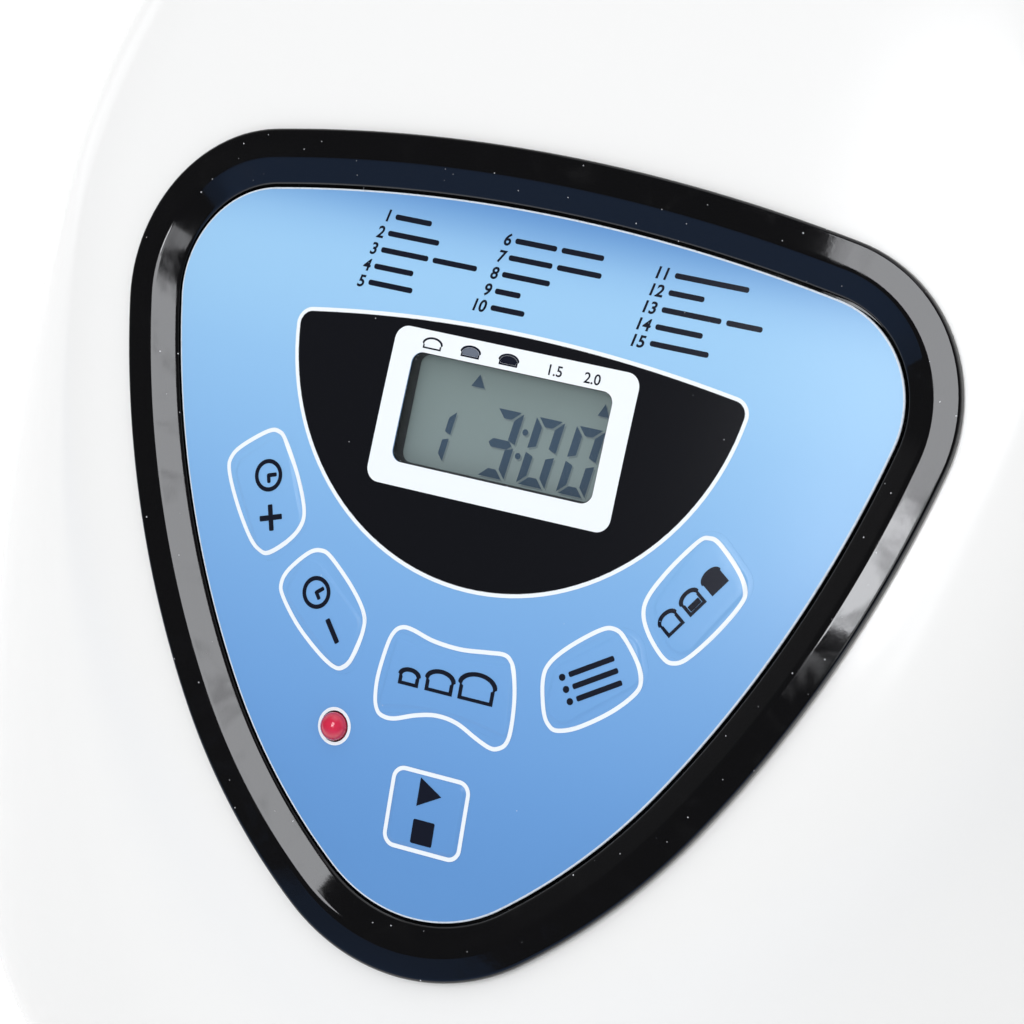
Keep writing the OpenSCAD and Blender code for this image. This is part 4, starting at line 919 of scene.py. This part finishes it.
# %% Numbers from Blender's own font
def number_shape(text, size, shear=0.0, bold=0.05):
    curve = bpy.data.curves.new("number", "FONT")
    curve.body, curve.size, curve.shear, curve.offset, curve.resolution_u = text, size, shear, bold, 5
    carrier = put("number", curve)
    mesh = bpy.data.meshes.new_from_object(carrier.evaluated_get(bpy.context.evaluated_depsgraph_get()))
    points, faces = [(v.co.x, v.co.y) for v in mesh.vertices], [list(p.vertices) for p in mesh.polygons]
    bpy.data.objects.remove(carrier)
    bpy.data.curves.remove(curve)
    bpy.data.meshes.remove(mesh)
    return points, faces


print("points of a drawn 8:", len(number_shape("8", 2.9)[0]))

# %% Program list: fifteen numbers, each with a plain bar where a name would stand
ROWS = [45.7, 42.7, 39.7, 36.7, 33.8]
STARTS = [[-31.5, -32.2, -32.8, -33.4, -33.8], [-7.4, -7.9, -8.4, -9.0, -10.7], [21.5, 21.1, 20.6, 20.2, 19.9]]
ENDS = [[-21.8, -19.5, -11.1, -23.1, -22.5], [12.0, 12.3, 3.2, -1.7, -0.2], [39.0, 31.6, 42.9, 32.8, 34.6]]
COLUMN_DROP = [0.0, 0.0, 0.4]
GAPS = {3: 0.52, 6: 0.5, 7: 0.5, 13: 0.62}
GAP_HALF, BAR_HIGH, BAR_ROUND, BAR_UP = 0.45, 0.95, 0.4, 1.0
NUMBER_SIZE, NUMBER_DROP, ONE_DIGIT, TWO_DIGITS = 2.9, 1.05, 2.3, 3.9
programs = Print()
for column in range(3):
    for row in range(5):
        number = column * 5 + row + 1
        x, y = STARTS[column][row], ROWS[row] - COLUMN_DROP[column] - NUMBER_DROP
        points, faces = number_shape(str(number), NUMBER_SIZE, shear=0.18, bold=0.075)
        programs.add(moved(points, (x, y)), faces)
        x0, x1 = x + (TWO_DIGITS if number > 9 else ONE_DIGIT), ENDS[column][row]
        bars = [(x0, x1)]
        if number in GAPS:
            gap = x0 + (x1 - x0) * GAPS[number]
            bars = [(x0, gap - GAP_HALF), (gap + GAP_HALF, x1)]
        for a, b in bars:
            programs.shape(soft_box(b - a, BAR_HIGH, BAR_ROUND, ((a + b) / 2, y + BAR_UP), step=30))
programs.lay("print_programs", ink_dark, film_height)

# %% Marks over the display: three crust shades and two loaf weights
MARK_LIFT, ICON_Y, WEIGHT_Y = 0.04, 25.5, 24.65


def loaf_icon(w, h):
    low, r = -h / 2, w * 0.22
    crown = [(w / 2 * 1.12 * math.cos(a), h / 2 - r + r * 1.5 * math.sin(a))
             for a in np.linspace(0, math.pi, 17)]
    return crown + [(-w / 2, h / 2 - r * 1.2), (-w / 2, low), (w / 2, low), (w / 2, h / 2 - r * 1.2)]


shades, shades_grey = Print(), Print()
for x, filled in ((-16.2, None), (-8.6, shades_grey), (-1.1, shades)):
    shades.shape(moved(loaf_icon(3.6, 1.7), (x, ICON_Y)), [moved(loaf_icon(3.0, 1.15), (x, ICON_Y))])
    if filled:
        filled.shape(moved(loaf_icon(2.95, 1.1), (x, ICON_Y)))
for text, x in (("1.5", 6.2), ("2.0", 13.4)):
    points, faces = number_shape(text, 2.6, bold=0.03)
    shades.add(moved(points, (x, WEIGHT_Y)), faces)
shades.lay("print_shades", ink_dark, film_height, lift=MARK_LIFT)
shades_grey.lay("print_shade_medium", ink_grey, film_height, lift=MARK_LIFT)

# %% [markdown]
# ## Signs on the keys
# Each key says what it does with a small sign: a clock with plus or minus, three loaf sizes, a list, three
# shades of crust, and a triangle over a square. They are cut from the same few shapes. A sign on a slanted
# key is drawn level round its own middle and then turned to lean with the key, which is easier to read than
# slanted coordinates.

# %% Signs on the keys
CLOCK_AT, SIGN_AT, STROKE = -3.5, 3.9, 0.95
UP_AT, DOWN_AT, MENU_AT, CRUST_AT = (-42.0, -6.0), (-26.6, -23.2), (26.2, -23.7), (41.2, -7.1)
UP_TURN, DOWN_TURN, MENU_TURN, CRUST_TURN = -73, -52, 31, 54


def clock(sheet, at, turn, plus):
    def bar(w, h, r, x, y):
        sheet.shape(moved(soft_box(w, h, r, (x, y), step=45), at, turn))

    middle = moved([(CLOCK_AT, 0)], at, turn)[0]
    sheet.band(ring_of(2.85, middle), ring_of(2.1, middle))
    bar(0.7, 1.9, 0.2, CLOCK_AT, 0.75)
    bar(1.6, 0.7, 0.2, CLOCK_AT + 0.55, 0.0)
    bar(4.6, STROKE, 0.2, SIGN_AT, 0)
    for side in (-1, 1) if plus else ():
        bar(STROKE, 1.9, 0.15, SIGN_AT, 1.36 * side)


def loaf_sizes(sheet):
    for x, w, h in ((-7.6, 4.0, 2.7), (-1.6, 5.4, 3.5), (5.6, 6.8, 4.4)):
        at = (x, -32.2 + h * 0.5)
        sheet.shape(moved(loaf_icon(w, h), at), [moved(loaf_icon(w - 1.4, h - 1.2), at)])


def menu_list(sheet):
    for row in (2.15, 0.0, -2.15):
        sheet.shape(moved(ring_of(0.6, (-5.0, row), 20), MENU_AT, MENU_TURN))
        sheet.shape(moved(soft_box(8.8, STROKE, 0.3, (0.7, row), step=30), MENU_AT, MENU_TURN))


def crust_shades(sheet):
    for x, level in ((-5.2, 0), (0, 1), (5.2, 2)):
        at = moved([(x, 0)], CRUST_AT, CRUST_TURN)[0]
        hollow = [moved(loaf_icon(2.7, 2.3), at, CRUST_TURN)]
        sheet.shape(moved(loaf_icon(3.9, 3.4), at, CRUST_TURN), [] if level == 2 else hollow)
        if level == 1:
            sheet.shape(moved(soft_box(2.5, 1.0, 0.1, (x, -0.6), step=45), CRUST_AT, CRUST_TURN))


def start_and_stop(sheet):
    sheet.shape(fine([(-2.0, -51.9), (2.5, -49.4), (-2.0, -46.9)], step=0.4)[0], spacing=1.0)
    sheet.shape(soft_box(4.2, 4.2, 0.3, (0, -56.2)))


SIGNS = {"time_up": lambda sheet: clock(sheet, UP_AT, UP_TURN, plus=True),
         "time_down": lambda sheet: clock(sheet, DOWN_AT, DOWN_TURN, plus=False),
         "loaf_size": loaf_sizes, "menu": menu_list, "crust_colour": crust_shades, "start_stop": start_and_stop}
for name, draw in SIGNS.items():
    sheet = Print()
    draw(sheet)
    sheet.lay("print_sign_" + name, ink_dark, on_key(name), "key_" + name, lift=ON_KEY)

# %% [markdown]
# ## Display
# Behind its opening the display lies nearly four millimetres deep: a grey-green reflector, painted darker
# towards its top as shade under the well's upper wall, dark seven-segment digits with a faint shade beside
# them, a dark ribbed wall all round, and a clear cover with some dust on it. The shade is what makes a real
# display look deep. A bump or a darker print wouldn't give it, so the digits are laid twice, the paler copy a
# little lower and to the side.

# %% Seven-segment digits, leaning to the right
def strokes(left, low, width, high, t, lit, lean=0.125, gap=0.14):
    """The lit ones of the segments a to g, each t wide, of a digit between two heights."""
    mid, a, b, nick = (low + high) / 2, gap + t * 0.25, width - gap - t * 0.25, t * 0.45
    segments = {
        "a": [(a, high), (b, high), (b - t, high - t), (a + t, high - t)],
        "g": [(a + nick, mid + t / 2), (b - nick, mid + t / 2), (b, mid), (b - nick, mid - t / 2),
              (a + nick, mid - t / 2), (a, mid)],
        "d": [(a + t, low + t), (b - t, low + t), (b, low), (a, low)],
    }
    over, under = mid + gap, mid - gap
    for upper, lower, out, into in (("f", "e", 0.0, t), ("b", "c", width, width - t)):
        segments[upper] = [(out, over + 0.2), (into, over + t / 2), (into, high - gap - t), (out, high - gap)]
        segments[lower] = [(out, low + gap), (into, low + gap + t), (into, under - t / 2), (out, under - 0.2)]
    return [[(left + x + (y - low) * lean, y) for x, y in segments[key]] for key in "agdfbec" if key in lit]


TIME_LOW, TIME_HIGH, TIME_WIDE, TIME_STROKE = 5.45, 17.3, 5.5, 1.5
digits = Print()
for left, lit in ((-4.75, "abgcd"), (3.2, "abcdef"), (10.95, "abcdef")):
    for shape in strokes(left, TIME_LOW, TIME_WIDE, TIME_HIGH, TIME_STROKE, lit):
        digits.shape(shape, spacing=WITHOUT_GRID)
for shape in strokes(-15.0, 6.2, 3.4, 15.2, 1.2, "bc"):
    digits.shape(shape, spacing=WITHOUT_GRID)
for at in ((3.05, 14.2), (2.55, 10.0)):
    digits.shape(ring_of(0.55, at, 20), spacing=WITHOUT_GRID)
for x, y, w, h in ((-7.6, 20.0, 2.6, 2.2), (16.9, 19.6, 2.2, 2.2)):
    digits.shape([(x - w / 2, y), (x + w / 2, y), (x, y + h)], spacing=WITHOUT_GRID)
print("points of the digits:", len(digits.points))

# %% Reflector, shade and digits, each a little above the last
GLASS = -4.36
SHADE_RIGHT, SHADE_DOWN = 0.35, 0.3


def glass_height(points, lift):
    return [GLASS + lift for _ in points]


face, shade = Print(), Print()
face.shape(soft_box(40.5, 20.8, 1, LCD_AT), spacing=WITHOUT_GRID)
shade.add([(x + SHADE_RIGHT, y - SHADE_DOWN) for x, y in digits.points], digits.faces)
for name, sheet, material, lift in (("lcd_reflector", face, lcd_face_painted_shade, 0.0),
                                    ("lcd_digit_shade", shade, lcd_shade, 0.02),
                                    ("lcd_digits", digits, lcd_ink, 0.05)):
    sheet.lay(name, material, glass_height, slot="lcd_glass", lift=lift)

# %% Well round the display
low_rim = soft_box(38.7, 18.8, 1.8, LCD_AT)
points = on_dome(LCD_OPENING, FILM_UNDER) + [(x, y, GLASS) for x, y in low_rim]
make_piece("display_well", points, loft_faces(2, len(low_rim), flip=True), well_dark, "machine",
           crease=60)

# %% [markdown]
# ## Lamp
# A small round-topped light stands in a hole of the film with a white printed ring round it. A sphere on a
# cylinder would leave a seam between them. So one profile is turned about the lamp's axis, as the real dome
# is moulded in one piece.

# %% Lamp dome
LAMP_R, LAMP_FOOT, LAMP_CROWN, LAMP_STEPS = 2.5, -13.0, 2.0, 40
ALMOST_TOP = math.pi / 2 * 0.985
lamp_seat = FILM_TOP + dome(*LED_AT)
profile = [(LAMP_R, LAMP_FOOT), (LAMP_R, lamp_seat - 0.1)]
for a in np.linspace(0, ALMOST_TOP, 14):
    profile.append((LAMP_R * math.cos(a), lamp_seat + 0.1 + LAMP_CROWN * math.sin(a)))
points = [(x, y, z) for r, z in profile for x, y in ring_of(r, LED_AT, LAMP_STEPS)]
faces = loft_faces(len(profile), LAMP_STEPS) + [list(range(len(points) - LAMP_STEPS, len(points)))]
make_piece("lamp_dome", points, faces, lamp_red, "machine", ["power_led"], crease=60)

# %% [markdown]
# ## Body shell
# The body is a thin moulding: a pointed round nose, flat leaning face and rounded back, all flowing into
# one another. It could be sculpted, but a stack of level sections gives exact control. Each section is half
# a superellipse in front, with the leaning dome blended in, and a soft rectangle behind. The same sections
# as in the CAD model are used, only many more of them, so that the gloss runs smoothly over the crease.

# %% Sections of the body
NOSE_Y, REAR_Y, HINGE_Y, HINGE_Z, CHAMBER_Y, LID_Y = -199.406, 115.594, 121.094, 244.0, 8.594, 3.047
WALL, BASE_Z, SEAM_Z, LID_Z, LID_H = 2.6, 5.0, 244.0, 244.8, 46.0
NOSE_POWER, REAR_POWER, REAR_LEN, SOFT = 1.42, 3.4, 110.0, 9.0
PANEL_BEHIND_NOSE = 39.8
FACE_SHARE, CUT_LEAST, CUT_MOST = 0.7, 0.10, 0.93
SIN_TILT, TAN_TILT = math.sin(PANEL_TILT), math.tan(PANEL_TILT)


def tuck_at(z):
    """How far the foot of the body draws in."""
    return 9 * max(0.0, 1 - (z - BASE_Z) / 36) ** 2.2


def nose_front(z):
    return NOSE_Y + 70 * (max(0.0, z - 178) / 100) ** 2


def nose_len(z):
    return 60 + 12 * (max(0.0, z - 10) / 100) ** 2


def half_w(z):
    return 122 * (1 - 0.1 * (max(0.0, z - 100) / 120) ** 2)


def face_y(x, z, e):
    """The leaning dome, e millimetres under its surface."""
    up = (z - PANEL_Z) / SIN_TILT
    middle = NOSE_Y + PANEL_BEHIND_NOSE + (z - PANEL_Z) / TAN_TILT
    return middle + ((x * x + up * up) / (2 * DOME_R) + e) / SIN_TILT


def soft_max(a, b, k=SOFT):
    h = max(0.0, k - abs(a - b)) / k
    return max(a, b) + h * h * k / 4


def body_ring(z, e, face_steps=18, nose_steps=30, rear_steps=26):
    """The body's outline at a height, e millimetres inside its skin."""
    a, f, length = half_w(z) - e - tuck_at(z), nose_front(z) + e + tuck_at(z), nose_len(z) - tuck_at(z) * 0.2
    u = (face_y(half_w(z) * FACE_SHARE, z, e) - nose_front(z) - e) / nose_len(z)
    cut = math.acos((1 - min(CUT_MOST, max(CUT_LEAST, u))) ** (NOSE_POWER / 2))
    half = []
    for i in range(face_steps + nose_steps + 1):
        t = cut * i / face_steps
        if i >= face_steps:
            t = cut + (math.pi / 2 - cut) * (i - face_steps) / nose_steps
        x = a * math.sin(t) ** (2 / NOSE_POWER)
        y = f + length * (1 - max(0.0, math.cos(t)) ** (2 / NOSE_POWER))
        half.append((x, soft_max(y, face_y(x, z, e)), z))
    b = REAR_LEN - e - tuck_at(z)
    for i in range(rear_steps + 1):
        t = math.pi / 2 * i / rear_steps
        x, y = a * max(0.0, math.cos(t)) ** (2 / REAR_POWER), b * math.sin(t) ** (2 / REAR_POWER)
        half.append((x, REAR_Y - REAR_LEN + y, z))
    half[-1] = (0.0, half[-1][1], z)
    return half + [(-x, y, z) for x, y, z in half[-2:0:-1]]


print("points in a section:", len(body_ring(100, 0)), "half width at the seam:", round(half_w(SEAM_Z), 1), "mm")

# %% Cutters and booleans
def solid(name, points, faces):
    mesh = mesh_in_mm(name, points, faces)
    build = bmesh.new()
    build.from_mesh(mesh)
    bmesh.ops.recalc_face_normals(build, faces=build.faces)
    build.to_mesh(mesh)
    build.free()
    return put(name, mesh)


def prism(outline, z0, z1, place=AT_ORIGIN):
    n = len(outline)
    points = [place @ Vector((x, y, z)) for z in (z0, z1) for x, y in outline]
    return points, loft_faces(2, n) + [list(range(n))[::-1], [n + i for i in range(n)]]


def block(x0, x1, y0, y1, z0, z1):
    return prism([(x0, y0), (x1, y0), (x1, y1), (x0, y1)], z0, z1)


def joined(*solids):
    points, faces = [], []
    for more_points, more_faces in solids:
        faces += renumbered(more_faces, len(points))
        points += list(more_points)
    return points, faces


def cut_away(points, faces, cutters):
    """Points and faces of a solid after the cutters are taken from it."""
    body, knife = solid("blank", points, faces), solid("cutter", *joined(*cutters))
    change = body.modifiers.new("cut", "BOOLEAN")
    change.operation, change.solver, change.object = "DIFFERENCE", "EXACT", knife
    mesh = bpy.data.meshes.new_from_object(body.evaluated_get(bpy.context.evaluated_depsgraph_get()))
    result = [tuple(v.co / MM) for v in mesh.vertices], [list(p.vertices) for p in mesh.polygons]
    for shape in (body, knife):
        bpy.data.objects.remove(shape)
    bpy.data.meshes.remove(mesh)
    return result


notched = cut_away(*block(0, 9, 0, 9, 0, 9), [block(5, 12, 5, 12, 5, 12)])
print("faces of a cube with a corner cut off:", len(notched[1]))

# %% [markdown]
# ### Body pieces
# The shell is one form, but it is moulded in three pieces: the nose, two sides and the rear cover. Skins
# drawn one by one would hardly meet. So one closed shell is made first, with the panel's opening, the air
# slots and the cord's hole cut through it, and then all that lies beyond each piece's seams is cut away.

# %% Body pieces: nose, sides and rear cover, with a fine seam between them
NOSE_SEAM, REAR_SEAM, SEAM_GAP = CHAMBER_Y - 69.0 - 7.0, REAR_Y - 56.0, 0.3
PANEL_CUT, SLOTS, SLOT_PITCH, SLOT_WIDE = 6.3, 7, 8, 3
GLAND_AT, GLAND_R = (-34, 115, 43), 7
FAR_X, FAR_Y, FAR_LOW, FAR_HIGH = 140, 240, -10, 260
FOOT_LEVELS = [5, 5.8, 7, 8.5, 10, 12, 14.5, 17, 20, 24, 28, 33, 37, 41]

levels = sorted(set(FOOT_LEVELS + list(np.linspace(46, 244, 52).round(3))))
rings = [body_ring(z, 0) for z in levels] + [body_ring(z, WALL) for z in levels[::-1]]
cutters = [prism(plate_outline(PANEL_CUT), -22, 18, in_panel)]
for i in range(SLOTS):
    cutters.append(block(-FAR_X, FAR_X, 5.594 + SLOT_PITCH * i, 5.594 + SLOT_WIDE + SLOT_PITCH * i, 23, 49))
turn_gland = Matrix.Translation(GLAND_AT) @ Matrix.Rotation(math.radians(90), 4, "X")
cutters.append(prism(ring_of(GLAND_R, n=40), -30, 30, turn_gland))
shell = cut_away(sum(rings, []), loft_faces(len(rings), len(rings[0]), closed_rings=True), cutters)
for piece, node, y0, y1 in (("nose_skin", "housing", None, NOSE_SEAM),
                            ("side_skin", "side_panels", NOSE_SEAM + SEAM_GAP, REAR_SEAM),
                            ("rear_skin", "rear_cover", REAR_SEAM + SEAM_GAP, None)):
    spare = [block(-FAR_X, FAR_X, -FAR_Y, y0, FAR_LOW, FAR_HIGH)] if y0 else []
    spare += [block(-FAR_X, FAR_X, y1, FAR_Y, FAR_LOW, FAR_HIGH)] if y1 else []
    points, faces = cut_away(*shell, spare)
    make_piece(piece, points, faces, white_shell, "machine", [node], AT_ORIGIN, crease=35)

# %% [markdown]
# ## Lid
# The lid is modelled closed, as shrinking copies of the body's top section that rise in a flat dome, and
# then swung open about its hinge: drawn open, it would hardly match the body. The window is cut through it,
# with a row of steam slots behind, and two knuckles carry it on the pins.

# %% Lid shell, closed
DOME_POWER, CROWN_INSET = 3.4, 0.8
SHARES = [1, 0.9995, 0.998, 0.995, 0.99, 0.982, 0.97, 0.955, 0.935, 0.91, 0.88, 0.84, 0.79, 0.72, 0.64, 0.55,
          0.45, 0.35, 0.24, 0.12]
CUT_LOW, CUT_HIGH = LID_Z + 20, LID_Z + 80


def lid_ring(s, e):
    rise = (LID_H - CROWN_INSET - e) * max(0.0, 1 - s ** DOME_POWER) ** (1 / DOME_POWER)
    return [(x * s, LID_Y + (y - LID_Y) * s, LID_Z + rise) for x, y, _ in body_ring(SEAM_Z, e)]


rings = [lid_ring(s, 0) for s in SHARES] + [lid_ring(s, WALL) for s in SHARES[::-1]]
points, count = sum(rings, []), len(rings[0])
outer_top, inner_top, last = (len(SHARES) - 1) * count, len(SHARES) * count, (len(rings) - 1) * count
faces = loft_faces(len(SHARES), count) + renumbered(loft_faces(len(SHARES), count), inner_top)
faces += [list(range(outer_top, inner_top)), list(range(inner_top, inner_top + count))[::-1]]
faces += [[i, last + i, last + (i + 1) % count, (i + 1) % count] for i in range(count)]
cutters = [prism(soft_box(116, 66, 32, (0, LID_Y), step=4.0), CUT_LOW, CUT_HIGH)]
cutters += [block(9 * i - 1.5, 9 * i + 1.5, LID_Y + 62, LID_Y + 84, CUT_LOW, CUT_HIGH) for i in range(-4, 5)]
lid_points, lid_faces = cut_away(points, faces, cutters)
print("closed lid:", len(lid_faces), "faces")

# %% Knuckles, and the lid swung open
KNUCKLE_X, KNUCKLE_R, BORE_R, KNUCKLE_STEPS = (30.3, 40.3), 5, 2.6, 40
LID_OPEN = math.radians(-100)
for side in (-1, 1):
    x0, x1 = sorted(x * side for x in KNUCKLE_X)
    section = [(x0, KNUCKLE_R), (x1, KNUCKLE_R), (x1, BORE_R), (x0, BORE_R)]
    tube = [(x, HINGE_Y + y, HINGE_Z + z) for x, r in section for y, z in ring_of(r, n=KNUCKLE_STEPS)]
    tube_faces = loft_faces(4, KNUCKLE_STEPS, closed_rings=True, flip=side > 0)
    arm = block(x0, x1, REAR_Y - WALL, HINGE_Y - 3, LID_Z, LID_Z + 4)
    lid_points, lid_faces = joined((lid_points, lid_faces), (tube, tube_faces), arm)
hinge = Vector((0, HINGE_Y, HINGE_Z))
swing = Matrix.Translation(hinge) @ Matrix.Rotation(LID_OPEN, 4, "X") @ Matrix.Translation(-hinge)
make_piece("lid_shell_gloss", [swing @ Vector(p) for p in lid_points], lid_faces, white_shell, "lid",
           ["lid_shell"], AT_ORIGIN, crease=35)

# %% [markdown]
# ## The CAD nodes that stay
# All other nodes have the right shape as they are. Each gets its finish by the material slot that the
# record gives it, and round ones are shaded smooth by angle, which changes no point of their meshes.
# Choosing node by node would be longer and would let two pieces of one stuff drift apart.

# %% Finishes by slot
FINISH = {"white_shell": white_shell, "white_inner": white_inner, "black_gloss": frame_black,
          "membrane_blue": groove_black, "lcd_pane": lcd_cover, "lcd_glass": dark_plastic, "lamp_red": lamp_red,
          "circuit_green": circuit_green, "dark_plastic": dark_plastic, "rubber": foot_rubber,
          "zinc_steel": zinc_steel, "stainless": stainless, "cast_aluminium": cast_aluminium,
          "nonstick": nonstick, "bronze": bronze, "element_sheath": heater_sheath, "ceramic": ceramic,
          "belt_rubber": belt_rubber, "motor_can": motor_lacquer, "silicone": silicone, "seal_red": seal_red,
          "lid_glass": lid_pane, "bright_steel": bright_steel}
NODE_CREASE = math.radians(32)
slots = {part["node"]: part["material_slot"] for part in frame["record"]["subparts"]}
for name, node in frame["nodes"].items():
    node.data.materials.clear()
    node.data.materials.append(FINISH[slots[name]])
    node.data.shade_smooth()
    node.data.set_sharp_from_angle(angle=NODE_CREASE)
print("finished nodes:", len(slots))

# %% [markdown]
# ## Studio
# A pale floor, a bright even room and five soft lamps. The room gives most of the light, because the shell
# is white and its shading is very soft; strong lamps alone would carve it. Three small panes in front stand
# where the bezel's near wall mirrors them, so they draw its bright bands. The rest of what the black gloss
# sees is kept dim, so that black stays black. A softbox overhead and a weak one at the left shape the white
# shell. The background's white is only what rays from the camera see.

# %% Floor
FLOOR_R, FLOOR_GLOW = 4.0, 0.42
FLOOR_IN_GLOSS = (0.10, 0.20, 0.42, 1)


def grey(level):
    return (level, level, level, 1)


def make_floor():
    edge = [(x, y, 0.0) for x, y in ring_of(FLOOR_R, n=72)]
    mesh = bpy.data.meshes.new("floor")
    mesh.from_pydata(edge, [], [list(range(len(edge)))])
    floor = put("floor", mesh)
    material, tree, shader, place = finish_base("floor_pale", grey(0.8), 0.6)
    rays = add(tree, "ShaderNodeLightPath").outputs
    mirrored_or_through = math_node(tree, "MAXIMUM", rays["Is Glossy Ray"], rays["Is Transmission Ray"])
    seen = math_node(tree, "MAXIMUM", rays["Is Camera Ray"], mirrored_or_through)
    pale = blend_colour(tree, noise(tree, place, 2.0), grey(0.79), grey(0.81))
    ahead = remap(tree, add(tree, "ShaderNodeSeparateXYZ", {0: place}).outputs[1], -0.25, -0.5)
    flagged = math_node(tree, "MULTIPLY", rays["Is Glossy Ray"], ahead)
    tree.links.new(blend_colour(tree, flagged, pale, FLOOR_IN_GLOSS), shader.inputs["Base Color"])
    shader.inputs["Emission Color"].default_value = grey(1)
    glow = math_node(tree, "MULTIPLY", math_node(tree, "SUBTRACT", seen, flagged, clamp=True), FLOOR_GLOW)
    tree.links.new(glow, shader.inputs["Emission Strength"])
    mesh.materials.append(material)


make_floor()

# %% Room
def make_room():
    world = bpy.data.worlds.new("studio")
    bpy.context.scene.world = world
    world.use_nodes = True
    tree = world.node_tree
    tree.nodes.clear()

    def background(strength):
        return add(tree, "ShaderNodeBackground", {"Color": grey(1), "Strength": strength}).outputs[0]

    def either(factor, a, b):
        return add(tree, "ShaderNodeMixShader", {0: factor, 1: a, 2: b}).outputs[0]

    out = add(tree, "ShaderNodeOutputWorld")
    rays = add(tree, "ShaderNodeLightPath").outputs
    way = add(tree, "ShaderNodeSeparateXYZ", {0: add(tree, "ShaderNodeTexCoord").outputs["Generated"]}).outputs
    dim_in_front = remap(tree, remap(tree, way[1], -0.35, 0.35), 0.0, 1.0, 0.06, 1.0)
    brighter_right = remap(tree, way[0], -1.0, 1.0, 0.70, 0.90)
    shiny = math_node(tree, "MAXIMUM", rays["Is Glossy Ray"], rays["Is Transmission Ray"])
    lit = either(shiny, background(brighter_right), background(dim_in_front))
    tree.links.new(either(rays["Is Camera Ray"], lit, background(1.0)), out.inputs["Surface"])
    print("room:", len(tree.nodes), "nodes")


make_room()

# %% Lamps: each by its direction and distance from the panel, its size in metres and its brightness
LAMP_AIM, LAMP_COLOUR = Vector((0, -0.19, 0.165)), (0.95, 0.965, 1.0)
LAMPS = {"front_window": (-2.8, 36.2, 1.3, (0.45, 0.49), 5.0),
         "window_sill": (-6.5, 21.7, 1.25, (0.2, 0.165), 10.5),
         "low_pane": (4.5, 19.0, 1.28, (0.13, 0.27), 2.6),
         "top_softbox": (-20, 78, 1.6, (1.2, 0.9), 0.6),
         "left_fill": (-105, 12, 1.5, (0.5, 0.9), 0.5)}
for name, (azimuth, elevation, distance, (wide, high), radiance) in LAMPS.items():
    a, e = math.radians(azimuth), math.radians(elevation)
    way = Vector((math.sin(a) * math.cos(e), -math.cos(a) * math.cos(e), math.sin(e)))
    data = bpy.data.lights.new(name, "AREA")
    data.shape, data.size, data.size_y = "RECTANGLE", wide, high
    data.energy = radiance * math.pi * wide * high
    data.color = LAMP_COLOUR
    lamp = put(name, data)
    lamp.location = LAMP_AIM + way * distance
    lamp.rotation_euler = way.to_track_quat("Z", "Y").to_euler()
print("lamps:", list(LAMPS))
